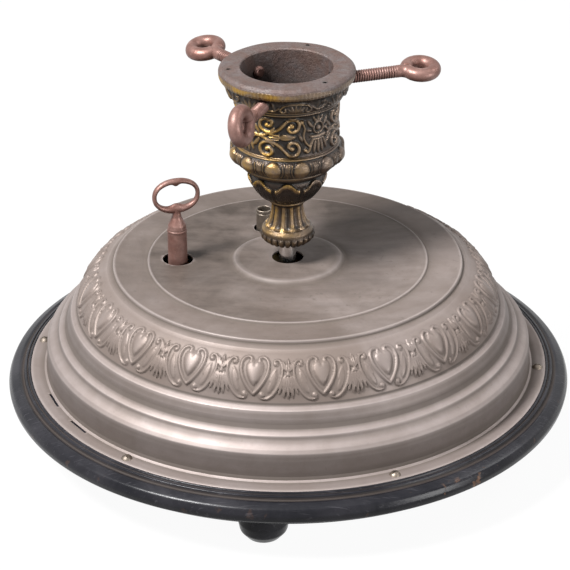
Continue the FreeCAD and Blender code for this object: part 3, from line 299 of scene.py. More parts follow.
def stroke_path(points, samples=28):
    """Smooth path through a few points: a cubic between each two, sloped there as their neighbours lie."""
    points = np.array(points, float)
    if len(points) < 3:
        share = np.linspace(0, 1, samples)[:, None]
        return points[0] * (1 - share) + points[-1] * share
    padded = np.vstack([2 * points[0] - points[1], points, 2 * points[-1] - points[-2]])
    share = np.linspace(0, len(points) - 1 - 1e-6, samples)
    index = share.astype(int)
    local = (share - index)[:, None]
    before, start, end, after = (padded[index + offset] for offset in range(4))
    return 0.5 * (2 * start + (end - before) * local + (2 * before - 5 * start + 4 * end - after) * local ** 2
                  + (3 * start - before - 3 * end + after) * local ** 3)


def stroke(across, up, points, width, height, taper=0.0):
    """Rounded ridge: height times the square root of 1 - (d / w)^2.

    Here d is the distance to the path and w is half the width, less its taper's share at both ends.
    """
    path = stroke_path(points)
    best = np.full(across.shape, -1.0)
    runs = len(path) - 1
    for index in range(runs):
        start = path[index]
        along = path[index + 1] - start
        length = max(float(along @ along), 1e-9)
        share = np.clip(((across - start[0]) * along[0] + (up - start[1]) * along[1]) / length, 0, 1)
        distance = np.hypot(across - start[0] - share * along[0], up - start[1] - share * along[1])
        place = (index + share) / runs
        reach = width / 2 * (1 - taper * (2 * place - 1) ** 2)
        best = np.maximum(best, 1 - (distance / reach) ** 2)
    return height * np.sqrt(np.clip(best, 0, 1))


def leaf(across, up, root, tip, width, height, bend=0.0):
    """Pointed leaf: a ridge from root to tip, widest a third of the way, with a sunk vein."""
    root = np.array(root, float)
    along = np.array(tip, float) - root
    length = float(np.hypot(*along))
    along = along / length
    place = ((across - root[0]) * along[0] + (up - root[1]) * along[1]) / length
    side = (across - root[0]) * -along[1] + (up - root[1]) * along[0] - bend * length * place * (1 - place)
    inside = np.clip(place, 0, 1)
    reach = width / 2 * np.maximum(2.1 * np.sqrt(inside) * (1 - inside) ** 0.7, 1e-3)
    dome = np.clip(1 - (side / reach) ** 2, 0, 1)
    vein = 1 - 0.35 * np.exp(-(side / (0.12 * width)) ** 2)
    within = (place > 0) & (place < 1)
    return height * np.sqrt(dome) * vein * within


def boss(across, up, centre, radius_across, radius_up, height):
    """Round boss: height times the square root of 1 - u^2 - v^2."""
    inside = 1 - ((across - centre[0]) / radius_across) ** 2 - ((up - centre[1]) / radius_up) ** 2
    return height * np.sqrt(np.clip(inside, 0, 1))


def drawn(across, up, strokes=(), bosses=(), leaves=()):
    """The highest of some strokes, bosses and leaves, each by its own values."""
    heights = [stroke(across, up, *values) for values in strokes]
    heights += [boss(across, up, *values) for values in bosses]
    heights += [leaf(across, up, *values) for values in leaves]
    return np.max(heights, axis=0)


def mirrored(draw, across, up):
    """The higher of a drawing and its mirror image about the motif's middle line."""
    return np.maximum(draw(across, up), draw(-across, up))


def softened(height, rounds=1):
    """Heights averaged with their neighbours along and across, columns wrapping round."""
    for _ in range(rounds):
        height = (height + 0.5 * (np.roll(height, 1, 1) + np.roll(height, -1, 1))) / 2
        padded = np.pad(height, ((1, 1), (0, 0)), mode="edge")
        height = (padded[1:-1] + 0.5 * (padded[:-2] + padded[2:])) / 2
    return height


def hollow_mask(relief, rounds=5):
    """How far a point lies below its surroundings: the averaged relief less the relief."""
    return softened(relief, rounds) - relief


# Pieces


def placed(name, data):
    """A new object in the scene."""
    piece = bpy.data.objects.new(name, data)
    bpy.context.scene.collection.objects.link(piece)
    return piece


def merged_mesh(name, shape, values=None, outward=False):
    """Mesh of a shape in millimetres, its doubled points merged after they are given their values."""
    vertices, faces = shape
    mesh = bpy.data.meshes.new(name)
    mesh.from_pydata((vertices * MM).tolist(), [], faces)
    for key, value in (values or {}).items():
        attribute = mesh.attributes.new(key, "FLOAT", "POINT")
        attribute.data.foreach_set("value", np.asarray(value, np.float32).ravel())
    merged = bmesh.new()
    merged.from_mesh(mesh)
    bmesh.ops.remove_doubles(merged, verts=merged.verts, dist=1e-7)
    if outward:
        bmesh.ops.recalc_face_normals(merged, faces=merged.faces)
    merged.to_mesh(mesh)
    merged.free()
    return mesh


def dressed(name, node, body, slot, shape, sharp, values=None):
    """A piece in place of a CAD node, on a body, with its slot's finish and its edges from an angle on."""
    piece = placed(name, merged_mesh(name, shape, values))
    shade(piece, sharp)
    piece.data.materials.append(finish(slot))
    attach(piece, body)
    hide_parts(node)
    return piece


def shade(piece, sharp):
    """Smooth shading that breaks at edges sharper than an angle."""
    piece.data.shade_smooth()
    piece.data.set_sharp_from_angle(angle=math.radians(sharp))


def cut_away(piece, grids, sharp):
    """The piece less the closed grids."""
    cutter = placed("cutter", merged_mesh("cutter", joined([ringed([grid]) for grid in grids]), outward=True))
    modifier = piece.modifiers.new("cut", "BOOLEAN")
    modifier.object = cutter
    modifier.solver = "EXACT"
    bpy.context.view_layer.update()
    graph = bpy.context.evaluated_depsgraph_get()
    mesh = bpy.data.meshes.new_from_object(piece.evaluated_get(graph))
    piece.modifiers.clear()
    piece.data = mesh
    bpy.data.objects.remove(cutter)
    shade(piece, sharp)


def post_grid(radius, bottom, top, centre=(0, 0), around=48):
    """Closed upright cylinder."""
    return capped(lathed(np.array([[radius, bottom], [radius, top]]), around)) + np.array([*centre, 0])


def bar_grid(radius, start, length, level, azimuth, around=32):
    """Closed level cylinder that runs out from the axis."""
    angles = ring_angles(around)
    grid = np.zeros((2, around, 3))
    grid[..., 0] = [[start], [start + length]]
    grid[..., 1] = radius * np.cos(angles)
    grid[..., 2] = radius * np.sin(angles)
    return turned(capped(grid), "Z", azimuth) + np.array([0, 0, level])


def box_grid(length, width, height, centre):
    """Closed box as a four-sided tube along Z."""
    grid = np.zeros((2, 4, 3))
    grid[..., 0] = np.array([-0.5, 0.5, 0.5, -0.5]) * length
    grid[..., 1] = np.array([-0.5, -0.5, 0.5, 0.5]) * width
    grid[..., 2] = [[-height / 2], [height / 2]]
    return capped(grid + np.array(centre))


# Nodes of the finishes


def opaque(value):
    """A signal as it is, or a colour of three numbers with full alpha."""
    return value if isinstance(value, Signal) else (*value, 1)


class Signal:
    """Output of a node. Adding to it, taking from it or multiplying it adds a math node."""

    def __init__(self, wiring, socket):
        self.wiring = wiring
        self.socket = socket

    def __add__(self, other):
        return self.wiring.combined("ADD", self, other)

    def __sub__(self, other):
        return self.wiring.combined("SUBTRACT", self, other)

    def __rsub__(self, other):
        return self.wiring.combined("SUBTRACT", other, self)

    def __mul__(self, other):
        return self.wiring.combined("MULTIPLY", self, other)

    def clamped(self):
        """The same value, kept from 0 to 1 by the math node that gives it."""
        self.socket.node.use_clamp = True
        return self


class Wiring:
    """Adds nodes to a tree and joins them."""

    def __init__(self, tree):
        self.tree = tree

    def put(self, target, value):
        """Joins a signal to an input, or sets the input to a plain value."""
        if isinstance(value, Signal):
            self.tree.links.new(value.socket, target)
        else:
            target.default_value = value

    def node(self, kind, inputs, **settings):
        """A node with its settings and its inputs, by name or number."""
        made = self.tree.nodes.new(kind)
        for key, value in settings.items():
            setattr(made, key, value)
        for key, value in inputs.items():
            self.put(made.inputs[key], value)
        return made

    def signal(self, kind, inputs, output=0, **settings):
        """One output of a new node."""
        return Signal(self, self.node(kind, inputs, **settings).outputs[output])

    def combined(self, kind, first, second):
        """Result of a math node."""
        return self.signal("ShaderNodeMath", {0: first, 1: second}, operation=kind)

    def ramp(self, value, start, end, first=0.0, last=1.0):
        """From the first value to the last as the given one goes from start to end."""
        return self.signal("ShaderNodeMapRange", {0: value, 1: start, 2: end, 3: first, 4: last})

    def blend(self, factor, first, second):
        """Colour mixed by a factor."""
        inputs = {0: factor, 6: opaque(first), 7: opaque(second)}
        return self.signal("ShaderNodeMix", inputs, 2, data_type="RGBA")

    def layered(self, base, *layers):
        """A colour under others, each laid on by its mask."""
        for mask, colour in layers:
            base = self.blend(mask, base, colour)
        return base

    def noise(self, vector, scale, detail, roughness, distortion=0.0):
        """Noise value."""
        return self.signal("ShaderNodeTexNoise", {"Vector": vector, "Scale": scale, "Detail": detail,
                                                  "Roughness": roughness, "Distortion": distortion})

    def stretched(self, vector, scale, turn=0.0):
        """Coordinates turned about Z and scaled."""
        return self.signal("ShaderNodeMapping", {"Vector": vector, "Rotation": (0, 0, turn), "Scale": scale})

    def parts(self, vector):
        """The three parts of a vector."""
        return [Signal(self, output) for output in self.node("ShaderNodeSeparateXYZ", {0: vector}).outputs]


def new_group(name, inputs, outputs):
    """Wiring of a new node group, its inputs by name and its output sockets. All but Vector are floats."""
    tree = bpy.data.node_groups.new(name, "ShaderNodeTree")
    tree.interface.new_socket(name="Vector", in_out="INPUT", socket_type="NodeSocketVector")
    for label, default in inputs.items():
        socket = tree.interface.new_socket(name=label, in_out="INPUT", socket_type="NodeSocketFloat")
        socket.default_value = default
    for label in outputs:
        tree.interface.new_socket(name=label, in_out="OUTPUT", socket_type="NodeSocketFloat")
    wiring = Wiring(tree)
    source = {socket.name: Signal(wiring, socket) for socket in tree.nodes.new("NodeGroupInput").outputs}
    return wiring, source, tree.nodes.new("NodeGroupOutput").inputs


def patina_group(name):
    """Cloudy stain mask and a fine bump height, from noise at two scales."""
    wiring, source, sink = new_group(name, {"Cloud Scale": 30.0, "Grain Scale": 900.0, "Amount": 0.5},
                                     ("Stain", "Grain"))
    cloud = wiring.noise(source["Vector"], source["Cloud Scale"], 6.0, 0.62, 0.4)
    wiring.put(sink["Stain"], (wiring.ramp(cloud, 0.38, 0.66) * source["Amount"]).clamped())
    wiring.put(sink["Grain"], wiring.noise(source["Vector"], source["Grain Scale"], 3.0, 0.6))
    return wiring.tree


def spun_group(name):
    """Fine rings about the Z axis: noise of the distance from the axis and of the height."""
    wiring, source, sink = new_group(name, {"Ring Scale": 1400.0}, ("Rings", "Bands"))
    across, back, height = wiring.parts(source["Vector"])
    radius = wiring.combined("SQRT", across * across + back * back, 0.0)
    line = wiring.signal("ShaderNodeCombineXYZ", {0: radius, 1: height})
    wiring.put(sink["Rings"], wiring.noise(line, source["Ring Scale"], 2.0, 0.7))
    wiring.put(sink["Bands"], wiring.noise(line, source["Ring Scale"] * 0.09, 2.0, 0.5))
    return wiring.tree


def scratch_group(name):
    """Long thin scratches: noise stretched along two slanting directions, kept where it peaks."""
    wiring, source, sink = new_group(name, {"Scale": 60.0}, ("Scratches",))
    found = []
    for turn, stretch in ((0.6, 34.0), (-0.9, 26.0)):
        slanted = wiring.stretched(source["Vector"], (1.0, stretch, 8.0), turn)
        found.append(wiring.ramp(wiring.noise(slanted, source["Scale"], 2.0, 0.5), 0.66, 0.72))
    wiring.put(sink["Scratches"], wiring.combined("MAXIMUM", *found))
    return wiring.tree


GROUP_MAKERS = {"patina": patina_group, "spinning_marks": spun_group, "scratches": scratch_group}
GROUPS = {}


def shared(name):
    """The shared node group of that name, built once."""
    if name not in GROUPS:
        GROUPS[name] = GROUP_MAKERS[name](name)
    return GROUPS[name]


class Finish(Wiring):
    """Wiring of a new material, with its shader's inputs and its object coordinates."""

    def __init__(self, name):
        self.material = bpy.data.materials.new(name)
        self.material.use_nodes = True
        super().__init__(self.material.node_tree)
        self.shader = self.tree.nodes["Principled BSDF"]
        self.place = self.signal("ShaderNodeTexCoord", {}, "Object")

    def give(self, values):
        """Joins or sets the shader's inputs."""
        for name, value in values.items():
            self.put(self.shader.inputs[name], value)

    def attribute(self, name):
        """Value that the mesh carries."""
        return self.signal("ShaderNodeAttribute", {}, "Fac", attribute_name=name)

    def group(self, name, inputs):
        """Outputs, by name, of a shared group with its own values."""
        made = self.node("ShaderNodeGroup", {"Vector": self.place, **inputs}, node_tree=shared(name))
        return {output.name: Signal(self, output) for output in made.outputs}

    def patina(self, cloud, grain, amount=1.0, place=None):
        """Stain mask and grain of the shared patina, at its two scales."""
        made = self.group("patina", {"Cloud Scale": cloud, "Grain Scale": grain, "Amount": amount,
                                     "Vector": place or self.place})
        return made["Stain"], made["Grain"]

    def bump(self, height, distance, strength):
        """Bump from a height into the shader's normal."""
        bumped = {"Height": height, "Distance": distance, "Strength": strength}
        self.give({"Normal": self.signal("ShaderNodeBump", bumped)})


def sheet_nickel(colours):
    """Nickel plate on pressed sheet: polished on the skirt, satin on the frieze, dull and stained on top.
    Dirt and painted shade darken its creases, painted shade its upright bands and the back left of the top,
    and painted highlights run along its edges.
    """
    paint = Finish("sheet_nickel")
    spun = paint.group("spinning_marks", {"Ring Scale": 1500.0})
    scratches = paint.group("scratches", {"Scale": 26.0})["Scratches"]
    clouds, _ = paint.patina(13.0, 1100.0)
    streaks, _ = paint.patina(22.0, 500.0, place=paint.stretched(paint.place, (1.0, 4.0, 1.0), 0.5))
    specks, grain = paint.patina(70.0, 2600.0, 0.8)
    spots, _ = paint.patina(240.0, 2600.0)
    satin = paint.attribute("satin")
    dull = paint.attribute("dull")
    grime_and_shade = paint.ramp(paint.attribute("hollow"), 0.04, 0.5, 0.0, 0.8)
    across, back, _ = paint.parts(paint.place)
    # Painted shade: the dull film grows towards the back left of the plateau.
    behind = paint.ramp(back - across, -0.10, 0.12, 0.05, 0.55)
    paint.give({
        "Base Color": paint.layered(
            colours.nickel,
            (clouds * 0.6, colours.tarnish),
            (spun["Bands"] * 0.3, colours.nickel_bright),
            (satin * (clouds * 0.35 + 0.55), colours.tarnish),
            ((dull * (behind + clouds * 0.45 + streaks * 0.25)).clamped(), colours.dark_tarnish_and_shade),
            (specks * 0.35, colours.tarnish),
            (paint.ramp(spots * (dull * 0.1 + 0.9), 0.85, 1.0, 0.0, 0.5), colours.grime_and_shade),
            # Painted shade: the skirt's upright bands are darkened, standing in for dark surroundings
            # mirrored in them.
            (paint.attribute("steep_shade") * 0.45, colours.dark_tarnish_and_shade),
            # Painted highlights along the edges, and wear on the frieze's high spots.
            (paint.attribute("rubbed_and_highlit") * 0.32, colours.nickel_bright),
            # Dirt and painted shade in the creases and hollows.
            (grime_and_shade, colours.grime_and_shade)),
        "Roughness": clouds * 0.06 + 0.56 - satin * 0.11 + grime_and_shade * 0.25,
        "Metallic": (0.58 - satin * 0.28 - dull * 0.20 - grime_and_shade * 0.4).clamped(),
        "Specular IOR Level": 0.15,
    })
    paint.bump(spun["Rings"] * 0.6 + grain * 0.5 - scratches * 0.7, 0.06 * MM, 0.5)
    return paint.material


def gilt_iron(colours):
    """Black glossy iron with gold that fades out towards +X, bare high spots, grimy hollows darkened further
    by painted shade, painted shade down the socket, and a rusty rim.
    """
    paint = Finish("gilt_iron")
    wear, wear_grain = paint.patina(130.0, 1500.0)
    sheen, sheen_grain = paint.patina(50.0, 700.0)
    pits, _ = paint.patina(420.0, 2600.0)
    raised = paint.attribute("gilding")
    rusted = paint.attribute("rusted")
    # Dirt and painted shade in the hollows and creases, and painted shade down the socket.
    grime_and_shade = paint.ramp(paint.attribute("hollow"), 0.05, 0.4, 0.0, 0.95)
    across, _, _ = paint.parts(paint.place)
    # Gold is kept towards -X and fades out towards +X.
    kept = paint.ramp(across, 0.024, -0.012, 0.12, 1.0)
    gold = (raised * kept * (1.15 - wear * 0.9)).clamped()
    rim = paint.layered(colours.rim, (sheen, colours.rim_brown), (wear * 0.6, colours.rim_rust),
                        (pits * 0.75, colours.rust_dark))
    paint.give({
        "Base Color": paint.layered(
            colours.iron, (sheen, colours.iron_brown), (raised * 0.85, colours.iron_rubbed),
            (gold, colours.gilding), (rusted, rim), (grime_and_shade, colours.soot_and_shade)),
        "Roughness": wear * 0.14 + 0.25 + gold * 0.10 + rusted * 0.24 + grime_and_shade * 0.1,
        "Metallic": (0.85 - grime_and_shade * 0.6 - gold * 0.25 - rusted * 0.6).clamped(),
    })
    paint.bump(wear_grain + sheen_grain - pits * (rusted * 0.9), 0.30 * MM, 0.7)
    return paint.material


def rusty_iron(colours):
    """Forged iron gone reddish brown, smoother and paler where hands rub it."""
    paint = Finish("rusty_iron")
    rust, grain = paint.patina(75.0, 1300.0)
    pits, _ = paint.patina(320.0, 3200.0, 0.7)
    # Dark rust and painted shade in the hollows and creases.
    grime_and_shade = paint.ramp(paint.attribute("hollow"), 0.0, 1.0, 0.0, 0.85)
    paint.give({
        "Base Color": paint.layered(colours.rust, (rust, colours.rust_pale), (pits * 0.45, colours.rust_dark),
                                    (grime_and_shade, colours.rust_dark)),
        "Roughness": pits * 0.2 + 0.38,
        "Metallic": 0.62 - rust * 0.25,
    })
    paint.bump(grain + pits, 0.16 * MM, 0.45)
    return paint.material


def black_wood(colours):
    """Ebonised and waxed wood: dark grain, dusty grooves, scuffs, and chips that show brown."""
    paint = Finish("black_wood")
    grain = paint.noise(paint.stretched(paint.place, (1.0, 9.0, 9.0)), 60.0, 6.0, 0.65, 0.6)
    scuffs, _ = paint.patina(26.0, 800.0)
    chips, _ = paint.patina(95.0, 500.0)
    scratches = paint.group("scratches", {"Scale": 34.0})["Scratches"]
    dust = paint.attribute("hollow")
    grey = (scuffs * 0.35 + scratches * 0.5).clamped()
    bare = paint.attribute("rubbed_and_highlit") * paint.ramp(chips, 0.84, 0.98)
    paint.give({
        "Base Color": paint.layered(colours.ebony, (grain, colours.ebony_pale), (grey, colours.ebony_scuffed),
                                    (dust * 0.55, colours.dust), (bare, colours.bare_wood)),
        "Roughness": grey * 0.25 + 0.22 + dust * 0.4,
        "Specular IOR Level": 0.18,
    })
    paint.bump(grain - bare * 1.2, 0.22 * MM, 0.35)
    return paint.material


def worked_metal(name, base, second, roughness, metallic=1.0, scale=90.0, amount=0.6, depth=0.04):
    """Machined metal with faint clouds and a fine grain, its depth in millimetres."""
    paint = Finish(name)
    cloud, grain = paint.patina(scale, 1800.0, amount)
    paint.give({"Base Color": paint.blend(cloud, base, second), "Roughness": cloud * 0.15 + roughness,
                "Metallic": metallic})
    paint.bump(grain, depth * MM, 0.5)
    return paint.material


FINISH_MAKERS = {
    "nickel": sheet_nickel,
    "gilt_iron": gilt_iron,
    "rusty_iron": rusty_iron,
    "wood": black_wood,
    "steel": lambda colours: worked_metal("polished_steel", colours.steel, colours.steel_dull, 0.18),
    "brass": lambda colours: worked_metal("cut_brass", colours.brass, colours.brass_dull, 0.26),
    "spring_steel": lambda colours: worked_metal("blued_steel", colours.blued, colours.steel_dull, 0.25),
    "dull_brass": lambda colours: worked_metal("worn_plate", colours.worn_plate, colours.grime_and_shade, 0.42, 0.9,
                                               240.0, 0.8, 0.12),
}
FINISHES = {}


def finish(name):
    """The finish of that name, made once from the scene's colours."""
    if name not in FINISHES:
        FINISHES[name] = FINISH_MAKERS[name](bpy.context.scene.stand_colours)
    return FINISHES[name]


# Sizes and colours


UNIT_SIZES = {"LENGTH": MM, "ROTATION": math.radians(1)}


def length_property(name, description, millimetres):
    """Length, held in metres."""
    return bpy.props.FloatProperty(name=name, description=description, default=millimetres * MM, min=0.0,
                                   precision=5, unit="LENGTH")


def angle_property(name, description, degrees):
    """Angle, held in radians."""
    return bpy.props.FloatProperty(name=name, description=description, default=math.radians(degrees),
                                   subtype="ANGLE")


def triple_property(name, description, values, unit):
    """A length in millimetres or an angle in degrees for each screw, held in metres or radians."""
    return bpy.props.FloatVectorProperty(name=name, description=description, size=3, unit=unit,
                                         default=[value * UNIT_SIZES[unit] for value in values])


def count_property(name, description, default, least):
    """Whole number."""
    return bpy.props.IntProperty(name=name, description=description, default=default, min=least)


def colour_property(name, description, default):
    """Linear colour."""
    return bpy.props.FloatVectorProperty(name=name, description=description, default=default,
                                         subtype="COLOR", size=3, min=0.0, max=1.0)


def in_shape_units(group):
    """The settings of a group by name, with its lengths in millimetres and its angles in degrees."""
    values = {}
    for name, rule in group.bl_rna.properties.items():
        value = getattr(group, name)
        if rule.type == "FLOAT":
            size = UNIT_SIZES.get(rule.unit, 1)
            value = [round(part / size, 5) for part in value] if rule.is_array else round(value / size, 5)
        values[name] = value
    return SimpleNamespace(**values)


class StandColours(bpy.types.PropertyGroup):
    """Colours of the finishes."""
    nickel: colour_property("Nickel", "Nickel plate", (0.235, 0.200, 0.190))
    # Also the painted highlights along the dome's edges.
    nickel_bright: colour_property("Bright nickel", "Nickel where it is rubbed", (0.42, 0.37, 0.355))
    tarnish: colour_property("Tarnish", "Brown clouds on the nickel", (0.150, 0.118, 0.102))
    # Also painted shade on the skirt's upright bands and on the back left of the plateau.
    dark_tarnish_and_shade: colour_property("Dark tarnish", "Grey-brown film on top", (0.044, 0.034, 0.028))
    # Also painted shade in the dome's creases.
    grime_and_shade: colour_property("Grime", "Dirt in creases", (0.085, 0.070, 0.060))
    iron: colour_property("Iron", "Dark iron of the cup", (0.026, 0.021, 0.018))
    iron_brown: colour_property("Brown iron", "Browned iron", (0.060, 0.044, 0.036))
    iron_rubbed: colour_property("Rubbed iron", "Iron where the ornament is rubbed", (0.20, 0.155, 0.130))
    gilding: colour_property("Gilding", "Worn gold paint", (0.31, 0.178, 0.030))
    rim: colour_property("Rim", "Grey iron of the rim", (0.108, 0.091, 0.090))
    rim_brown: colour_property("Brown rim", "Browned iron of the rim", (0.076, 0.051, 0.041))
    rim_rust: colour_property("Rusty rim", "Rust on the rim", (0.096, 0.047, 0.034))
    # Also painted shade in the cup's hollows and down its socket.
    soot_and_shade: colour_property("Soot", "Black dirt in the ornament", (0.008, 0.007, 0.006))
    rust: colour_property("Rust", "Reddish brown iron", (0.160, 0.076, 0.060))
    rust_pale: colour_property("Pale rust", "Rust rubbed by hands", (0.225, 0.127, 0.107))
    rust_dark: colour_property("Dark rust", "Rust in the hollows", (0.06, 0.035, 0.03))
    ebony: colour_property("Ebonised wood", "Black stained wood", (0.004, 0.004, 0.006))
    ebony_pale: colour_property("Wood grain", "Grain that shows in the stain", (0.010, 0.010, 0.013))
    ebony_scuffed: colour_property("Scuffs", "Scuffed black wood", (0.040, 0.038, 0.044))
    dust: colour_property("Dust", "Dust in the grooves", (0.050, 0.038, 0.030))
    bare_wood: colour_property("Bare wood", "Wood under the stain", (0.15, 0.080, 0.048))
    steel: colour_property("Steel", "Polished steel", (0.75, 0.72, 0.70))
    steel_dull: colour_property("Dull steel", "Steel gone grey", (0.30, 0.28, 0.27))
    brass: colour_property("Brass", "Cut brass", (0.60, 0.44, 0.19))
    brass_dull: colour_property("Dull brass", "Brass gone brown", (0.34, 0.24, 0.11))
    blued: colour_property("Blued steel", "Spring steel", (0.10, 0.13, 0.24))
    worn_plate: colour_property("Worn plate", "Plated brass worn dull", (0.205, 0.170, 0.138))


class StandBase(bpy.types.PropertyGroup):
    """Board and feet."""
    columns: count_property("Columns", "Points round the board", 384, 48)
    thickness: length_property("Thickness", "From the board's underside to its flat top", 21.5)
    chipped: angle_property("Chipped", "Bearing of the most chipped part of the edge", 306.0)
    sole: length_property("Sole", "Radius of a foot's sole", 12.0)
    belly: length_property("Belly", "Widest radius of a foot", 18.0)
    foot_circle: length_property("Foot circle", "How far the feet lie from the axis", 168.0)
    first_foot: angle_property("First foot", "Bearing of the front foot", 264.0)


class StandDome(bpy.types.PropertyGroup):
    """Pressed cover."""
    sheet: length_property("Sheet", "Thickness of the sheet", 1.2)
    hearts: count_property("Hearts", "Hearts in the frieze", 20, 4)
    first_heart: angle_property("First heart", "Bearing of a heart", 279.0)
    relief: length_property("Relief", "Height of the frieze", 1.7)
    columns: count_property("Columns", "Points round the plain rings", 320, 80)
    finer: count_property("Finer", "Times as many points round the frieze", 5, 2)
    spindle_hole: length_property("Spindle hole", "Radius of the hole round the spindle", 11.6)
    key_hole: length_property("Key hole", "Radius of the hole round the key", 11.2)
    sleeve_hole: length_property("Sleeve hole", "Radius of the hole round the sleeve", 7.8)
    slot_length: length_property("Slot length", "Length of the slots in the flange", 20.0)
    slot_width: length_property("Slot width", "Width of the slots in the flange", 1.6)
    slot_circle: length_property("Slot circle", "How far the slots lie from the axis", 183.8)


class StandCup(bpy.types.PropertyGroup):
    """Cup, pedestal and their ornament."""
    columns: count_property("Columns", "Points round the cup", 640, 120)
    scroll_repeats: count_property("Scrolls", "Repeats of the scrolls", 4, 2)
    scroll_relief: length_property("Scroll relief", "Height of the scrolls", 2.3)
    fan_relief: length_property("Fan relief", "Height of the shells under the rim", 1.7)
    egg_count: count_property("Eggs", "Eggs in the lower band", 12, 4)
    leaf_count: count_property("Leaves", "Leaves of the bowl", 8, 4)
    flute_count: count_property("Flutes", "Flutes of the stem", 12, 4)
    gadroon_count: count_property("Gadroons", "Lobes under the knob", 24, 8)
    egg_radius: length_property("Egg radius", "How far the eggs lie from the axis", 39.0)
    egg_relief: length_property("Egg relief", "Height of the eggs", 2.2)
    leaf_relief: length_property("Leaf relief", "Height of the bowl's leaves", 1.7)
    flute_depth: length_property("Flute depth", "Depth of the flutes", 1.5)
    gadroon_relief: length_property("Gadroon relief", "Height of the lobes", 1.3)
    socket: length_property("Socket", "Radius of the trunk's socket", 32.4)
    mouth: length_property("Mouth", "Radius of the socket's mouth", 33.0)
    spindle_bore: length_property("Spindle bore", "Radius of the hole for the spindle's end", 6.25)
    rim_hole: length_property("Rim hole", "Radius of the small holes in the rim", 1.25)
    rim_circle: length_property("Rim circle", "How far the small holes lie from the axis", 42.0)


class StandScrews(bpy.types.PropertyGroup):
    """Clamp screws."""
    radius: length_property("Radius", "Radius of the bar", 4.55)
    length: length_property("Length", "Length of a screw", 80.0)
    pitch: length_property("Pitch", "Rise of the thread in one turn", 1.9)
    thread: length_property("Thread", "Depth of the thread", 0.75)
    threaded: length_property("Threaded", "Length of the thread from the tip", 47.0)
    eye: length_property("Eye", "Radius of the eye's middle line", 10.0)
    eye_bar: length_property("Eye bar", "Radius of the bar in the eye", 5.0)
    neck: length_property("Neck", "Radius of the neck's bend", 7.0)
    eye_end: angle_property("Eye end", "Where the eye's end stops", 3.0)
    azimuths: triple_property("Azimuths", "Bearings of the screws", (17.5, 129.5, 247.0), "ROTATION")
    reaches: triple_property("Reaches", "Far sides of the eyes from the axis", (116.0, 109.5, 94.5), "LENGTH")
    rolls: triple_property("Rolls", "How the eyes are turned", (7.0, 350.0, 100.0), "ROTATION")
    level: length_property("Level", "Height of the screws", 269.0)


class StandKey(bpy.types.PropertyGroup):
    """Winding key and stop sleeve."""
    turn: angle_property("Turn", "How the bow is turned", 18.0)
    bow_width: length_property("Bow width", "Width of the bow", 35.8)
    bow_height: length_property("Bow height", "Height of the bow", 27.0)
    bow_depth: length_property("Bow depth", "Depth of the bow", 5.2)
    shank: length_property("Shank", "Radius of the shank", 7.15)
    neck: length_property("Neck", "Radius of the neck", 3.0)
    neck_length: length_property("Neck length", "From the shoulder's ring to the bow", 13.8)
    sleeve: length_property("Sleeve", "Radius of the stop sleeve", 5.8)


class StandView(bpy.types.PropertyGroup):
    """Camera, floor and lamps."""
    camera_place: bpy.props.FloatVectorProperty(name="Camera", description="Where the camera stands",
                                                default=(0.0, -1.5, 0.8821), size=3, unit="LENGTH")
    pitch: angle_property("Pitch", "How far the camera looks down", 27.26)
    yaw: angle_property("Yaw", "How far the camera turns left", 0.08)
    roll: angle_property("Roll", "How far the camera leans", -0.29)
    focal_pixels: bpy.props.FloatProperty(name="Focal length", description="Focal length", default=2272.7,
                                          subtype="PIXEL")
    floor_size: length_property("Floor", "Width of the floor", 12000.0)
    lamp_power: bpy.props.FloatProperty(name="Lamp", description="Power of the key lamp", default=145.0,
                                        unit="POWER")


SETTINGS = {
    "stand_colours": StandColours, "stand_base": StandBase, "stand_dome": StandDome, "stand_cup": StandCup,
    "stand_screws": StandScrews, "stand_key": StandKey, "stand_view": StandView,
}


# Board and feet


def board_outline(radius, bottom, top):
    """Board from the middle of its top, over bead, groove, roll and cove, to the middle of its underside."""
    height = top - bottom

    def at(share, drop, rounding):
        """Corner at a share of the radius and so many millimetres under the top."""
        return radius * share, top - drop, rounding

    return rounded_line([
        at(0, 0, 0), at(0.904, 0, 0), at(0.918, 0, 1.0), at(0.9215, -0.9, 1.0), at(0.9265, -0.9, 1.0),
        at(0.9300, 0.6, 0.5), at(0.9325, 0.9, 0.5), at(0.9345, -0.1, 0.6), at(0.9420, 0.2, 0.8),
        at(0.9450, 2.4, 0.4), at(0.9490, 2.9, 0.4), at(0.9620, 2.0, 2.5), at(0.9900, 4.6, 4.0),
        at(1, height * 0.44, 4.5), at(0.9955, height * 0.66, 3.0), at(0.972, height * 0.80, 3.0),
        at(0.948, height * 0.88, 1.0), at(0.9476, height, 0.5), at(0, height, 0),
    ])


def make_board(settings):
    """Turned board with dusty grooves and an edge that is rubbed and, at one bearing, chipped."""
    radius = half_width("base_board")
    bottom = low("base_board")
    top = bottom + settings.thickness
    outline = thinned(resampled(board_outline(radius, bottom, top), 2.2), radius * 0.88, 12)
    dust = ramped(sunk_depth(outline, 2.5), 0.1, 0.9) * (outline[:, 1] > top - 4)
    rubbed_and_highlit = ramped(outline[:, 0], radius * 0.975, radius * 0.995)
    bearings = np.degrees(ring_angles(settings.columns))
    worn = 0.12 + 0.88 * np.exp(-((bearings - settings.chipped) / 13) ** 2)
    dressed("board", "base_board", "stand", "wood", ringed([lathed(outline, settings.columns)]), sharp=50.0,
            values={"hollow": round_rings(dust, settings.columns), "rubbed_and_highlit": np.outer(rubbed_and_highlit, worn)})


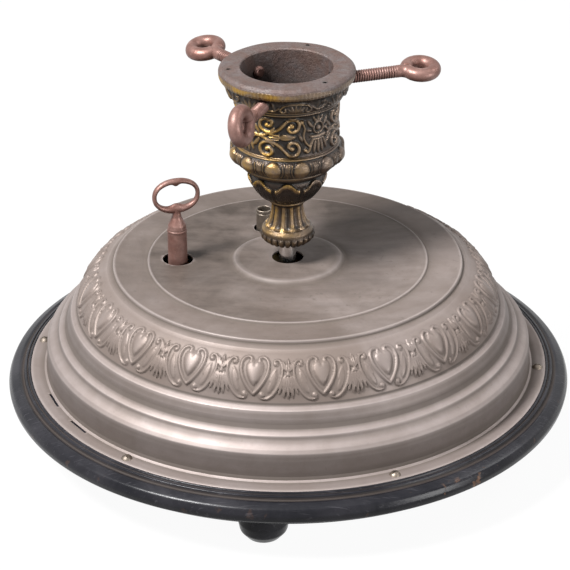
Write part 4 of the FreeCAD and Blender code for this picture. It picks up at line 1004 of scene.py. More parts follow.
def make_feet(settings):
    """Bun feet, evenly spaced: a flat sole, a round belly and a short neck, bored for their screws."""
    height = high("bun_feet") - low("bun_feet")
    belly = settings.belly
    outline = rounded_line([
        (5.4, height * 0.36, 0), (5.4, 0.5, 0.3), (5.9, 0, 0.3), (settings.sole, 0, 1.2),
        (belly * 0.93, height * 0.2, 5), (belly, height * 0.44, 5), (belly * 0.92, height * 0.66, 5),
        (belly * 0.66, height * 0.82, 2), (belly * 0.60, height * 0.86, 1), (belly * 0.62, height, 0),
        (2.8, height, 0), (2.8, height * 0.36, 0), (5.4, height * 0.36, 0),
    ], 7)[::-1]
    points, sides = ringed([lathed(resampled(outline, 1.6), 72)[:-1]], True)
    places = [turned(np.array([settings.foot_circle, 0, 0]), "Z", settings.first_foot + step)
              for step in (0, 120, 240)]
    feet = joined([(points + place, sides) for place in places])
    dressed("feet", "bun_feet", "stand", "wood", feet, sharp=40.0)


# Dome cover


def dome_outlines(radius, bottom, top, hole):
    """Outer outline in three stretches: plateau rings, frieze band, skirt and flange."""
    rise = top - bottom

    def at(share_out, share_up, rounding=1.0):
        """Corner at shares of the radius and the rise."""
        return radius * share_out, bottom + rise * share_up, rounding

    plateau = rounded_line([
        (hole, top, 0), at(0.203, 1.0, 2.0), at(0.216, 0.973, 1.5), at(0.226, 0.968, 2.5),
        at(0.40, 0.985, 30), at(0.524, 0.995, 2.0), at(0.533, 1.000, 1.0), at(0.5375, 0.982, 0.7),
        at(0.549, 0.979, 2.0), at(0.655, 0.987, 2.0), at(0.6655, 0.990, 0.9), at(0.6685, 0.958, 0.6),
        at(0.678, 0.950, 1.6), at(0.690, 0.938, 2.0), at(0.701, 0.920, 0),
    ])
    start, arc_middle, end, foot = np.array([at(0.701, 0.920), at(0.766, 0.803), at(0.804, 0.627),
                                             at(0.811, 0.585)])[:, :2]
    share = np.linspace(0, 1, 60)[:, None]
    control = 2 * arc_middle - (start + end) / 2
    arc = (1 - share) ** 2 * start + 2 * share * (1 - share) * control + share ** 2 * end
    frieze = np.vstack([arc, foot])
    skirt = rounded_line([
        at(0.811, 0.585), at(0.813, 0.570, 1.4), at(0.822, 0.560, 1.6), at(0.835, 0.543, 1.2),
        at(0.8405, 0.518, 1.5), at(0.848, 0.480, 2.0), at(0.8535, 0.440, 2.0), at(0.861, 0.405, 1.5),
        at(0.884, 0.374, 2.0), at(0.890, 0.340, 8.0), at(0.920, 0.292, 6.0), at(0.931, 0.262, 2.0),
        at(0.9335, 0.20, 2.0), at(0.935, 0.055, 1.5), at(0.942, 0.016, 1.5), at(0.99, 0.0145, 1.0),
        at(0.9995, 0.011, 0.5), at(1.0, 0.0, 0),
    ])
    return plateau, frieze, skirt


def heart_motif(across, up):
    """Half of one repeat of the frieze, in millimetres from its heart's middle and from the band's foot.

    A domed heart in a raised ribbon, a scroll that rolls in on a bead at both ends, and half of the
    leaf spray that parts it from the next heart.
    """
    half = MOTIF_WIDTH / 2
    ribbon = [(0.0, 3.4), (3.0, 6.8), (6.4, 12.0), (8.8, 17.6), (9.6, 23.2), (8.2, 27.6), (5.0, 29.4),
              (2.6, 28.0), (3.2, 26.2)]
    scroll = [(4.6, 3.2), (5.2, 0.8), (8.8, 0.4), (12.8, 3.4), (16.4, 9.4), (18.6, 16.4), (18.8, 22.6),
              (16.8, 27.2), (13.8, 27.2), (13.2, 24.8)]
    lines = drawn(across, up, [(ribbon, 2.3, 0.78), (scroll, 2.0, 0.66, 0.15)], [
        ((5.6, 2.9), 1.9, 1.9, 0.85), ((14.4, 24.6), 1.8, 1.8, 0.75), ((half, 17.4), 1.9, 1.9, 0.85),
    ], [
        ((9.6, 4.6), (14.8, 18.6), 3.6, 0.45, -0.10),
        ((11.0, 12.0), (15.2, 21.6), 2.6, 0.35, 0.10),
        ((half, 19.2), (half, 28.6), 3.2, 0.80),
        ((half - 0.6, 19.2), (19.0, 27.2), 3.0, 0.75, 0.16),
        ((half, 15.8), (half, 0.8), 3.2, 0.95),
        ((half - 0.8, 15.8), (19.8, 1.4), 3.0, 0.88, -0.08),
        ((half - 1.4, 16.2), (16.6, 3.6), 2.8, 0.78, -0.14),
        ((half - 1.6, 17.0), (18.4, 10.4), 2.2, 0.60, -0.10),
    ])
    tip = 8.6
    crown = 27.2
    side = np.abs(across)
    reach = np.interp(up, [tip, 12, 16, 20, 23, 25.6, crown], [0, 2.6, 4.7, 6.0, 6.2, 5.0, 2.0])
    inside = np.clip(1 - (side / np.maximum(reach, 1e-3)) ** 2, 0, 1) * (up > tip) * (up < crown)
    cleft = 1 - 0.5 * np.exp(-(side / 1.2) ** 2) * ramped(up, 21, 26)
    heart = np.sqrt(inside * tapered(up, tip, crown, 4, 3)) * cleft
    return np.maximum(lines, heart)


def frieze_relief(outline, settings):
    """Relief of the whole band: one motif's heights, tiled round."""
    columns = settings.columns * settings.finer
    lengths = outline_lengths(outline)
    share = repeat_share(columns, settings.hearts, settings.first_heart)[:columns // settings.hearts]
    across, up = np.meshgrid(share * MOTIF_WIDTH, lengths[-1] - lengths - FRIEZE_FOOT)
    return np.tile(mirrored(heart_motif, across, up), (1, settings.hearts)) * settings.relief


def make_dome(settings):
    """Pressed cover: outer skin with its frieze, inner skin a sheet's thickness below, holes and slots."""
    radius = half_width("dome_cover")
    bottom = low("dome_cover")
    top = high("dome_cover")
    columns = settings.columns
    plateau, band, skirt = dome_outlines(radius, bottom, top, settings.spindle_hole)
    plateau = resampled(plateau, 3.4)
    band = resampled(band, 0.74)
    skirt = resampled(skirt, 2.4)
    rows = np.arange(len(band))
    fade = tapered(rows, 0, rows[-1], 2, 2)
    relief = (frieze_relief(band, settings) * fade[:, None])[1:-1]
    band = band[1:-1]
    inner = resampled(np.vstack([plateau, band, skirt])[::6], 7.0)
    inner = inner - outline_normals(inner) * settings.sheet
    inner[:, 1] = np.maximum(inner[:, 1], bottom)
    inner[0] = (settings.spindle_hole, top - settings.sheet)
    inner[-1] = (radius - 0.3, bottom)

    def over_skin(on_plateau, on_band, on_skirt):
        """Values by outline point on the plateau and skirt, by vertex on the band, and 0 inside."""
        return np.concatenate([
            round_rings(np.broadcast_to(on_plateau, len(plateau)), columns),
            np.broadcast_to(on_band, relief.shape).ravel(),
            round_rings(np.broadcast_to(on_skirt, len(skirt)), columns),
            np.zeros(len(inner) * columns)])

    skirt_share = skirt[:, 0] / radius
    plateau_share = plateau[:, 0] / radius
    in_fold = np.exp(-((skirt_share - FLANGE_FOLD) / 0.006) ** 2) * (skirt[:, 1] < bottom + 4)
    on_flange = ramped(skirt_share, FLANGE_FOLD - 0.006, FLANGE_FOLD)
    shoulder = ramped(plateau_share, SHOULDER, SHOULDER - 0.012)
    # Painted highlight: beyond the centre disc the plateau is less dull, so lighter.
    shoulder *= 1 - 0.45 * ramped(plateau_share, CENTRE_DISC, CENTRE_DISC + 0.004)
    shape = ringed([lathed(plateau, columns), lathed(band, columns * settings.finer, relief),
                    lathed(skirt, columns), lathed(inner[::-1], columns)], True)
    piece = dressed("dome", "dome_cover", "stand", "nickel", shape, sharp=50.0, values={
        # Dirt and painted shade in the creases, round the frieze's relief and on its ground, and at the
        # flange's fold.
        "hollow": over_skin(crease_dirt_and_shade(plateau), hollow_mask(relief) * 0.6 + 0.05 * (relief < 0.05),
                            crease_dirt_and_shade(skirt) + 0.30 * in_fold),
        "satin": over_skin(1, 1, 0.3 * on_flange),
        "dull": over_skin(shoulder, 0, 0),
        # Painted shade on the skirt's upright bands.
        "steep_shade": over_skin(0, 0, ramped(outline_normals(skirt)[:, 1], 0.78, 0.43)),
        # Painted highlights along the outline's edges, and wear on the frieze's high spots.
        "rubbed_and_highlit": over_skin(edge_highlight_mask(plateau, 1.6), np.clip(relief / settings.relief - 0.75, 0, 1),
                            edge_highlight_mask(skirt, 1.6)),
    })
    cutters = [post_grid(settings.key_hole, top - 9, top + 9, middle("winding_key"), 64),
               post_grid(settings.sleeve_hole, top - 9, top + 9, middle("stop_sleeve"))]
    slot = box_grid(settings.slot_width, settings.slot_length, 8.0, (settings.slot_circle, 0, bottom))
    cutters += [turned(slot, "Z", bearing) for bearing in SLOT_BEARINGS]
    cut_away(piece, cutters, sharp=50.0)


def sunk_depth(outline, reach):
    """How far each outline point lies below the middle of its neighbours at a reach either way."""
    lengths = outline_lengths(outline)
    sides = [np.stack([np.interp(lengths + shift, lengths, outline[:, axis]) for axis in (0, 1)], 1)
             for shift in (-reach, reach)]
    return (((sides[0] + sides[1]) / 2 - outline) * outline_normals(outline)).sum(axis=1)


def crease_mask(outline, reach):
    """Creases of an outline: where its points are sunk."""
    return np.clip(sunk_depth(outline, reach), 0, 1)


def edge_highlight_mask(outline, reach):
    """Edges of an outline, where its points stand out: the mask of painted highlights along them."""
    return np.clip(-sunk_depth(outline, reach) * 1.6, 0, 1)


def crease_dirt_and_shade(outline):
    """Dirt and painted shade along a turned outline: strong in the sharp creases and faint in the broad
    hollows.
    """
    return np.maximum(crease_mask(outline, 1.4), crease_mask(outline, 6.0) * 0.35)


# Pedestal and cup


def pedestal_outline(foot, height):
    """Pedestal from the edge of its top down to its foot and in to the spindle's bore."""

    def at(radius, above, rounding=0.8):
        """Corner at a radius and a height above the foot, in shares of the pedestal's height."""
        return radius, foot + height * above, rounding

    return rounded_line([
        at(6.3, 1.0, 0), at(36.0, 1.0, 0.3), at(36.4, 0.994, 0.4), at(37.8, 0.988, 0.6), at(38.0, 0.978, 0.6),
        at(37.4, 0.970, 0.4), at(38.6, 0.960, 0.8), at(40.4, 0.930, 2.0), at(40.3, 0.885, 3.0),
        at(37.9, 0.835, 3.0), at(34.8, 0.797, 1.0), at(33.6, 0.790, 0.6), at(33.9, 0.778, 0.8),
        at(32.9, 0.764, 0.8), at(32.0, 0.752, 0.8), at(31.6, 0.742, 0.6),
        at(27.6, 0.728, 1.0), at(26.4, 0.700, 1.0), at(27.0, 0.672, 1.4), at(26.8, 0.648, 1.4),
        at(25.6, 0.585, 5), at(22.4, 0.515, 5), at(17.8, 0.455, 3), at(14.2, 0.437, 1.0),
        at(13.7, 0.432, 0.6), at(14.4, 0.424, 0.7), at(14.3, 0.410, 0.7), at(13.2, 0.402, 0.6),
        at(12.2, 0.396, 0.6), at(11.8, 0.372, 3), at(11.9, 0.320, 6), at(12.9, 0.245, 6),
        at(14.4, 0.190, 4), at(16.2, 0.170, 1.4), at(17.2, 0.160, 1.2), at(18.9, 0.128, 2.0),
        at(19.2, 0.092, 1.5), at(18.4, 0.055, 1.5), at(15.6, 0.022, 2.0), at(12.0, 0.0, 1.0),
        at(6.3, 0.0, 0),
    ])


def eggs_relief(across, up, pitch):
    """One egg with two raised rims and half a dart either side; up runs from the band's foot, 0 to 1."""
    rims = drawn(np.abs(across) / pitch * 10, up * 10, [
        ([(0.0, 0.6), (2.6, 2.0), (3.5, 5.0), (3.3, 8.6)], 0.55, 0.55),
        ([(3.9, 1.6), (4.3, 5.0), (4.2, 9.0)], 0.42, 0.45),
    ], leaves=[((5.0, 9.0), (5.0, 0.6), 1.3, 0.5)])
    return np.maximum(rims, boss(across, up, (0, 0.52), pitch * 0.29, 0.46, 1.0))


def bowl_leaves(share, up):
    """Broad leaf of the bowl: full at its tip, a vein down its middle and a dark gap beside it."""
    side = np.abs(share) * 2
    body = np.clip((0.93 - side) / 0.10, 0, 1)
    vein = 1 - 0.35 * np.exp(-(share / 0.035) ** 2)
    ribs = 0.85 + 0.15 * np.cos(share * FULL_TURN * 4)
    tip = 0.86 + 0.14 * np.cos(share * FULL_TURN)
    curl = np.clip((up - tip + 0.22) / 0.2, 0, 1) * (up < tip)
    return (body * vein * ribs * (up < tip) * 0.55 + curl * body * 0.85) * np.clip(up / 0.15, 0, 1)


def make_pedestal(settings):
    """Pedestal with gadroons, flutes, leaves, eggs and beads."""
    foot = low("cup_pedestal")
    height = high("cup_pedestal") - foot
    columns = settings.columns
    outline = thinned(resampled(pedestal_outline(foot, height), 0.75), 11.5, 5)[:-1]
    rows = (outline[:, 1:] - foot) / height

    def up_in(band):
        """Height of each row in a band, 0 at its foot and 1 at its top."""
        return (rows - band[0]) / (band[1] - band[0])

    def within(up):
        """1 inside a band and 0 beyond it."""
        return (up > 0) & (up < 1)

    egg_up = up_in(EGG_BAND)
    egg_share = repeat_share(columns, settings.egg_count, FRONT, 0.5)
    egg_pitch = FULL_TURN * settings.egg_radius / settings.egg_count
    eggs = eggs_relief(egg_share * egg_pitch, egg_up, egg_pitch) * within(egg_up)
    leaf_up = up_in(LEAF_BAND)
    leaves = bowl_leaves(repeat_share(columns, settings.leaf_count, FRONT), leaf_up) * within(leaf_up)
    fluted = tapered(up_in(FLUTE_BAND), 0, 1, 0.12, 0.10)
    flute_share = repeat_share(columns, settings.flute_count, FRONT)
    flutes = np.sqrt(np.clip(1 - (flute_share / 0.33) ** 2, 0, 1) * fluted)
    lobe_share = repeat_share(columns, settings.gadroon_count, FRONT)
    lobed = tapered(up_in(LOBE_BAND), 0, 1, 0.2, 0.2)
    lobes = np.sqrt(np.clip(1 - (lobe_share / 0.44) ** 2, 0, 1)) * lobed
    relief = (eggs * settings.egg_relief + leaves * settings.leaf_relief
              - flutes * settings.flute_depth + lobes * settings.gadroon_relief)
    ridges = (fluted > 0.05) * (1 - flutes)
    gilding = eggs * 0.8 + np.clip(leaves - 0.62, 0, 1) * 2.0 + ridges * 0.85 + lobes * 0.3
    beads = ((0.985, 0.02, 0.7), (0.772, 0.022, 0.7), (0.417, 0.02, 0.7), (0.14, 0.05, 0.5))
    for bead_up, reach, share in beads:
        gilding += np.clip(1 - np.abs(rows - bead_up) / reach, 0, 1) * share
    relief[(outline[:, 0] < 36.5) & (rows[:, 0] > 0.98)] = 0
    relief = softened(relief)
    shape = ringed([lathed(outline, columns, relief)], True)
    dressed("pedestal", "cup_pedestal", "tree", "gilt_iron", shape, sharp=60.0, values={
        # Dirt and painted shade in the hollows and creases.
        "hollow": hollow_mask(relief, 4) * 1.2 + crease_mask(outline, 1.4)[:, None] * 0.9,
        "gilding": np.clip(gilding, 0, 1), "rusted": np.zeros_like(relief)})


def cup_outline(foot, height, settings):
    """Cup from the middle of its socket's floor, up its wall, over the lip, and down outside to its foot."""

    def at(radius, above, rounding=0.8):
        """Corner at a radius and a height above the foot."""
        return radius, foot + above, rounding

    def under(radius, drop, rounding):
        """Corner at a radius and so far under the lip."""
        return radius, foot + height - drop, rounding

    inside = rounded_line([
        at(0, 8.0, 0), at(settings.socket - 2, 8.0, 0), at(settings.socket, 10.0, 1.0),
        under(settings.mouth, 0.9, 0.5), under(settings.mouth + 0.8, 0, 0.5), under(44.0, 0, 0),
    ])
    outside = rounded_line([
        under(44.0, 0, 0), under(46.4, 0, 1.6), under(48.2, 1.7, 1.6), under(48.8, 3.2, 0.8),
        under(48.7, 6.2, 1.0), under(47.9, 7.9, 0.8), under(47.2, 8.4, 0.5), under(45.6, 8.8, 0.6),
        under(44.4, 10.4, 1.0), at(43.6, 44.0, 4.0), at(42.2, 38.6, 3.0), at(41.2, 36.4, 1.0),
        at(40.4, 35.7, 0.5), at(39.9, 35.4, 0.5), at(39.9, 34.8, 0.4), at(39.3, 34.4, 0.5),
        at(38.2, 34.1, 0.4), at(38.9, 33.4, 0.6), at(38.9, 32.6, 0.6), at(38.0, 31.9, 0.5),
        at(37.2, 31.2, 0.5), at(36.2, 30.4, 0.8), at(35.6, 28.5, 2.0), at(35.5, 14.0, 6.0),
        at(35.7, 2.0, 3.0), at(36.2, 0, 0.3), at(6.3, 0, 0),
    ])
    return inside, outside


def scroll_motif(across, up):
    """One repeat of the drum's ornament, in millimetres from its middle and from the drum's foot.

    Four scrolls run out from a banded clasp and roll in on bosses, level with their mirror images
    about the drum's middle height. A curled stem on the right and half a vase with a rosette at
    either end fill the rest.
    """
    level = 15.4
    half = 28.7
    left_scroll = [(-6.2, 11.6), (-10.8, 11.4), (-14.8, 8.4), (-14.4, 3.6), (-10.2, 1.2), (-6.0, 3.2),
                   (-6.6, 6.6), (-9.2, 7.2)]
    right_scroll = [(-6.0, 12.2), (-0.6, 9.0), (2.7, 5.8), (6.4, 1.8), (11.2, 1.5), (13.8, 5.9),
                    (12.0, 10.4), (7.8, 11.2), (5.8, 8.4), (8.2, 7.0)]
    arc = [(-4.6, 8.6), (-8.6, 12.8), (-13.4, 14.8), (-18.6, 14.8), (-21.2, 12.6)]
    stem = [(15.6, 26.6), (17.8, 21.6), (17.0, 16.0), (18.6, 10.6), (22.0, 6.4), (20.2, 3.0), (17.4, 4.8)]
    ring = [(4.2, 20.6), (3.0, 23.6), (0.0, 24.8), (-3.0, 23.6), (-4.2, 20.6), (-3.0, 17.6), (0.0, 16.4),
            (3.0, 17.6), (4.2, 20.6)]
    scrolls = drawn(across, level - np.abs(up - level), [
        (left_scroll, 2.8, 0.95, 0.1), (right_scroll, 3.0, 1.0, 0.1), (arc, 2.4, 0.85, 0.3),
    ], [
        ((-9.6, 6.4), 1.9, 1.9, 1.1), ((8.6, 6.8), 2.1, 2.1, 1.15),
    ], [
        ((-15.6, 13.6), (-21.8, 6.4), 3.4, 0.7, 0.12),
    ])
    clasp = drawn(across, up, [
        ([(-7.4, level + 2.0), (-1.0, level + 1.6)], 1.5, 1.05),
        ([(-7.8, level), (-0.6, level)], 1.5, 1.15),
        ([(-7.4, level - 2.0), (-1.0, level - 1.6)], 1.5, 1.05),
        (stem, 2.0, 0.8, 0.2),
    ], [
        ((15.2, 26.6), 2.2, 2.2, 1.0), ((18.6, 4.8), 1.5, 1.5, 0.8),
    ], [
        ((-1.0, level), (11.4, level), 5.4, 0.9), ((16.2, 11.6), (13.4, 17.4), 2.6, 0.6),
    ])
    vase = drawn(half - np.abs(across), up, [
        (ring, 1.5, 0.85), ([(0, 14.2), (6.0, 14.6)], 2.0, 0.9), ([(0, 12.0), (4.8, 12.2)], 1.2, 0.8),
    ], [
        ((0, 20.6), 2.2, 2.2, 1.1),
    ], [
        ((0, 12.4), (0, 0.8), 3.0, 0.9), ((2.2, 12.0), (3.8, 1.0), 2.8, 0.85, 0.05),
        ((4.2, 12.6), (7.8, 2.6), 2.8, 0.8, 0.10), ((0, 25.0), (0, 30.4), 3.0, 0.8),
        ((1.2, 24.8), (4.4, 29.8), 2.6, 0.75, -0.10), ((4.6, 21.4), (8.8, 27.6), 3.0, 0.75, -0.12),
        ((5.0, 18.6), (9.6, 19.6), 2.4, 0.6, 0.10),
    ])
    return np.max([scrolls, clasp, vase], axis=0)


def fan_motif(across, up):
    """Half of one repeat of the neck's ornament: a shell in a curled frame, and half a leaf spray between."""
    half = 33.8
    shell_frame = [(0.0, 8.0), (4.0, 7.8), (8.4, 6.2), (11.0, 3.4), (9.6, 1.2), (7.2, 2.0), (7.8, 3.6)]
    curl = [(12.0, 4.4), (15.6, 2.2), (20.0, 2.6), (23.4, 5.6), (21.6, 7.6), (19.6, 6.4)]
    return drawn(across, up, [
        (shell_frame, 1.5, 0.9), ([(0.0, 0.9), (5.4, 1.0)], 1.3, 0.7), (curl, 1.5, 0.8, 0.2),
    ], leaves=[
        ((0, 0.8), (0, 7.0), 2.4, 0.95), ((0.8, 1.0), (3.8, 6.2), 2.2, 0.85, -0.1),
        ((1.6, 1.0), (6.4, 4.4), 2.0, 0.8, -0.1), ((15.4, 2.6), (16.8, 8.4), 2.4, 0.7),
        ((half, 1.0), (half, 8.6), 3.0, 0.9), ((half - 1.0, 1.2), (half - 5.4, 7.8), 2.8, 0.85, 0.1),
        ((half - 1.6, 1.2), (half - 9.0, 4.8), 2.6, 0.8, 0.1),
        ((half - 2.0, 0.8), (half - 9.8, 1.4), 2.0, 0.6),
    ])


def make_cup(settings, screws):
    """Trunk cup with scrolls on its drum, shells under its rim, and holes for its screws."""
    foot = low("trunk_cup")
    top = high("trunk_cup")
    columns = settings.columns
    coarse = columns // 4
    inside, outside = cup_outline(foot, top - foot, settings)
    inside = resampled(inside, 3.0)[:-1]
    outside = thinned(resampled(outside, 0.62), 35.0, 12)
    up = outside[:, 1:] - foot
    wall = outside[:, :1] > 35.0
    angles = ring_angles(columns)

    def repeated(motif, bearing, radius, band):
        """A motif's heights in a band above the foot, repeated round from a bearing."""
        start, end = band
        repeats = settings.scroll_repeats
        width = FULL_TURN * radius / repeats
        across, above = np.meshgrid(repeat_share(columns, repeats, bearing) * width, up - start)
        return motif(across, above) * (above > 0) * (above < end - start) * wall

    scrolls = repeated(scroll_motif, 262.0, 36.5, DRUM_BAND)
    fans = repeated(lambda across, above: mirrored(fan_motif, across, above), 278.4, 43.0, NECK_BAND)
    relief = softened(scrolls * settings.scroll_relief + fans * settings.fan_relief)
    bevel = np.clip(2.4 - np.abs(up - 50.0) / 1.6, 0, 1) * wall
    ribs = 0.16 * np.sin(angles * 110) * bevel
    wobble = 0.12 * np.sin(angles * 7 + 1.0) * ramped(up, 47, 50)
    beads = np.maximum(np.clip(1 - np.abs(up - 33.0) / 0.8, 0, 1), np.clip(1 - np.abs(up - 35.0) / 0.6, 0, 1))
    worn = 0.55 + 0.45 * np.sin(angles * 5 + 0.6) ** 2
    gilding = np.clip(np.clip(scrolls * 1.2 - 0.2, 0, 1) + np.clip(fans - 0.4, 0, 1) * 0.9
                      + bevel * worn + beads * 0.6, 0, 1)
    rusted = np.clip((up - 52.2 - 0.6 * np.sin(angles * 9)) / 1.2, 0, 1) * wall
    drum_floor = 0.10 * (scrolls < 0.05) * (up > DRUM_BAND[0]) * (up < DRUM_BAND[1]) * wall
    # Dirt and painted shade in the hollows, the creases and the drum's ground.
    dirt_and_shade = hollow_mask(relief, 4) * 0.9 + crease_mask(outside, 1.2)[:, None] * 0.9 + drum_floor
    # Painted shade: the socket gets darker the deeper down it goes.
    deep = round_rings(ramped(inside[:, 1], top - 1, top - 35) * 0.34, coarse)
    vertices, faces = ringed([lathed(inside, coarse), lathed(outside, columns, relief + ribs + wobble)])
    faces.append(list(range(len(vertices) - columns, len(vertices)))[::-1])
    piece = dressed("cup", "trunk_cup", "tree", "gilt_iron", (vertices, faces), sharp=60.0, values={
        "hollow": np.concatenate([deep, dirt_and_shade.ravel()]),
        "gilding": np.concatenate([np.zeros(deep.size), gilding.ravel()]),
        "rusted": np.concatenate([np.ones(deep.size), rusted.ravel()])})
    cutters = [bar_grid(screws.radius + 0.05, 25.0, 40.0, screws.level, bearing)
               for bearing in screws.azimuths]
    for bearing in RIM_HOLE_BEARINGS:
        place = turned(np.array([settings.rim_circle, 0, 0]), "Z", bearing)
        cutters.append(post_grid(settings.rim_hole, top - 6, top + 2, place[:2], 16))
    cutters.append(post_grid(settings.spindle_bore, foot - 1, foot + 5.8))
    cut_away(piece, cutters, sharp=60.0)


# Clamp screws


def screw_centreline(settings, tip, eye_centre):
    """Centres and tangents along a screw: a straight run, a bend one way, then the eye the other way."""
    bend = math.acos(settings.neck / (settings.neck + settings.eye))
    bend_start = eye_centre - (settings.neck + settings.eye) * math.sin(bend)
    straight = np.linspace(tip, bend_start, int((bend_start - tip) / (settings.pitch / 8)) + 1)
    turn = np.linspace(0, bend, 10)[1:]
    loop = np.linspace(1.5 * math.pi - bend, 3 * math.pi - math.radians(settings.eye_end), 90)[1:]
    centres = np.vstack([
        np.stack([straight, np.zeros_like(straight)], 1),
        np.stack([bend_start + settings.neck * np.sin(turn), settings.neck * (np.cos(turn) - 1)], 1),
        np.stack([eye_centre + settings.eye * np.cos(loop), settings.eye * np.sin(loop)], 1),
    ])
    tangents = np.vstack([
        np.tile([1.0, 0.0], (len(straight), 1)),
        np.stack([np.cos(turn), -np.sin(turn)], 1),
        np.stack([-np.sin(loop), np.cos(loop)], 1),
    ])
    return centres, tangents


def screw_grid(settings, index):
    """Surface of a screw, and the depth of its thread: a helical groove near the tip of an uneven bar.

    The groove's depth is the thread's depth times a triangle wave of length / pitch + angle.
    """
    reach = settings.reaches[index]
    centres, tangents = screw_centreline(settings, reach - settings.length,
                                         reach - settings.eye_bar - settings.eye)
    lengths = outline_lengths(centres)[:, None]
    angles = ring_angles(40)
    phase = (lengths / settings.pitch + angles / FULL_TURN) % 1.0
    groove = np.clip(1 - np.abs(phase - 0.5) * 2 / 0.62, 0, 1) * ramped(lengths, settings.threaded,
                                                                       settings.threaded - 3.0)
    rng = np.random.default_rng(7 + index)
    waves = 0
    for count in (1, 2, 3, 2):
        size = rng.uniform(0.03, 0.09)
        stretch = rng.uniform(4, 11)
        waves = waves + size * np.sin(lengths / stretch + angles * count + rng.uniform(0, 6))
    forged = ramped(lengths, settings.threaded + 2, settings.threaded + 12)
    thick = settings.radius + (settings.eye_bar - settings.radius) * forged
    tip_bevel = 0.7 + 0.3 * ramped(lengths, 0, 1.5)
    blunt_end = np.sqrt(1 - 0.35 * ramped(lengths, lengths[-1] - 0.8, lengths[-1]) ** 2)
    radius = (thick - groove * settings.thread + waves * forged) * tip_bevel * blunt_end
    side = np.cos(angles) * radius
    grid = capped(np.stack([centres[:, :1] - tangents[:, 1:] * side, centres[:, 1:] + tangents[:, :1] * side,
                            np.sin(angles) * radius], 2))
    grid = turned(turned(grid, "X", settings.rolls[index]), "Z", settings.azimuths[index])
    return grid + np.array([0, 0, settings.level]), np.pad(groove, ((1, 1), (0, 0)))


def make_clamp_screws(settings):
    """Three eye screws."""
    for index, place in enumerate(("right", "rear", "front")):
        grid, hollow = screw_grid(settings, index)
        vertices, faces = ringed([grid])
        dressed("eye_screw_" + place, "clamp_screw_" + place, place + "_screw", "rusty_iron",
                (vertices, [face[::-1] for face in faces]), sharp=60.0, values={"hollow": hollow})


# Key and sleeve


def key_bow(settings):
    """Bow in its own plane: an oval of power 2.2, thick at its foot, with a cusp and a hump inside it."""
    share = ring_angles(128)
    path = np.stack([
        (settings.bow_width / 2 - 1.6) * np.sign(np.cos(share)) * np.abs(np.cos(share)) ** (2 / 2.2),
        (settings.bow_height / 2 - 2.1) * np.sign(np.sin(share)) * np.abs(np.sin(share)) ** (2 / 2.2)], 1)
    ahead = np.roll(path, -1, 0) - np.roll(path, 1, 0)
    ahead = ahead / np.linalg.norm(ahead, axis=1, keepdims=True)
    head = math.pi / 2
    foot = 1.5 * math.pi
    sides = 1.6 + 0.5 * np.sin(share) ** 2 + 0.6 * np.exp(-((share - foot) / 0.7) ** 2)
    within = 2.0 * np.exp(-((share - head) / 0.13) ** 2) + 2.4 * np.exp(-((share - foot) / 0.28) ** 2)
    section = ring_angles(28)
    cosine = np.cos(section)
    reach = np.where(cosine > 0, sides[:, None], (sides + within)[:, None]) * cosine
    depth = np.broadcast_to(settings.bow_depth / 2 * np.sin(section), reach.shape)
    return np.stack([path[:, :1] + ahead[:, 1:] * reach, depth, path[:, 1:] - ahead[:, :1] * reach], 2)


def make_key(settings):
    """Key: shank with a turned ring, domed shoulder, waisted neck, and a bow with a cusp in it."""
    bottom = low("winding_key")
    top = high("winding_key")
    centre = np.array([*middle("winding_key"), 0])
    shank = settings.shank
    neck = settings.neck
    bow_foot = top - settings.bow_height
    shoulder = bow_foot - settings.neck_length
    rows = resampled(rounded_line([
        (0, bow_foot + 3.0, 0), (neck, bow_foot + 3.0, 0), (neck, bow_foot, 2),
        (neck + 0.5, shoulder + 10.4, 3), (neck + 2.0, shoulder + 7.2, 4), (shank - 0.6, shoulder + 4.0, 3),
        (shank - 0.3, shoulder + 0.8, 1.0), (shank - 0.4, shoulder + 0.3, 0.3), (shank + 0.15, shoulder, 0.3),
        (shank + 0.15, shoulder - 1.0, 0.3), (shank - 0.1, shoulder - 1.4, 0.3), (shank, shoulder - 12.0, 1),
        (shank, bottom + 1.0, 0.6), (shank - 0.8, bottom, 0.4), (0, bottom, 0),
    ]), 0.9)
    around = 56
    bow = key_bow(settings) + np.array([0, 0, top - settings.bow_height / 2])
    bow_vertices, bow_faces = ringed([turned(bow, "Z", settings.turn) + centre], True)
    bow_faces = [face[::-1] for face in bow_faces]
    shape = joined([ringed([lathed(rows, around) + centre]), (bow_vertices, bow_faces)])
    # Dirt and painted shade in the creases.
    dirt_and_shade = round_rings(np.clip(crease_mask(rows, 1.0) * 2, 0, 1), around)
    dressed("key", "winding_key", "key", "rusty_iron", shape, sharp=50.0,
            values={"hollow": np.concatenate([dirt_and_shade, np.zeros(len(bow_vertices))])})


def make_sleeve(settings):
    """Thin sleeve with a rolled lip, a ring below it and a closed foot."""
    bottom = low("stop_sleeve")
    top = high("stop_sleeve")
    radius = settings.sleeve
    rows = resampled(rounded_line([
        (0, bottom + 1.5, 0), (radius - 1.0, bottom + 1.5, 0), (radius - 1.0, top - 0.5, 0.3),
        (radius - 0.5, top, 0.4), (radius, top - 0.5, 0.4), (radius, top - 2.6, 0.2),
        (radius - 0.35, top - 3.0, 0.2), (radius, top - 3.4, 0.2), (radius, bottom + 0.5, 0.3),
        (radius - 0.5, bottom, 0.3), (0, bottom, 0),
    ]), 2.0)
    around = 64
    grid = lathed(rows, around) + np.array([*middle("stop_sleeve"), 0])
    dressed("sleeve", "stop_sleeve", "sleeve", "dull_brass", ringed([grid]), sharp=40.0,
            values={"hollow": round_rings(crease_mask(rows, 0.8), around)})


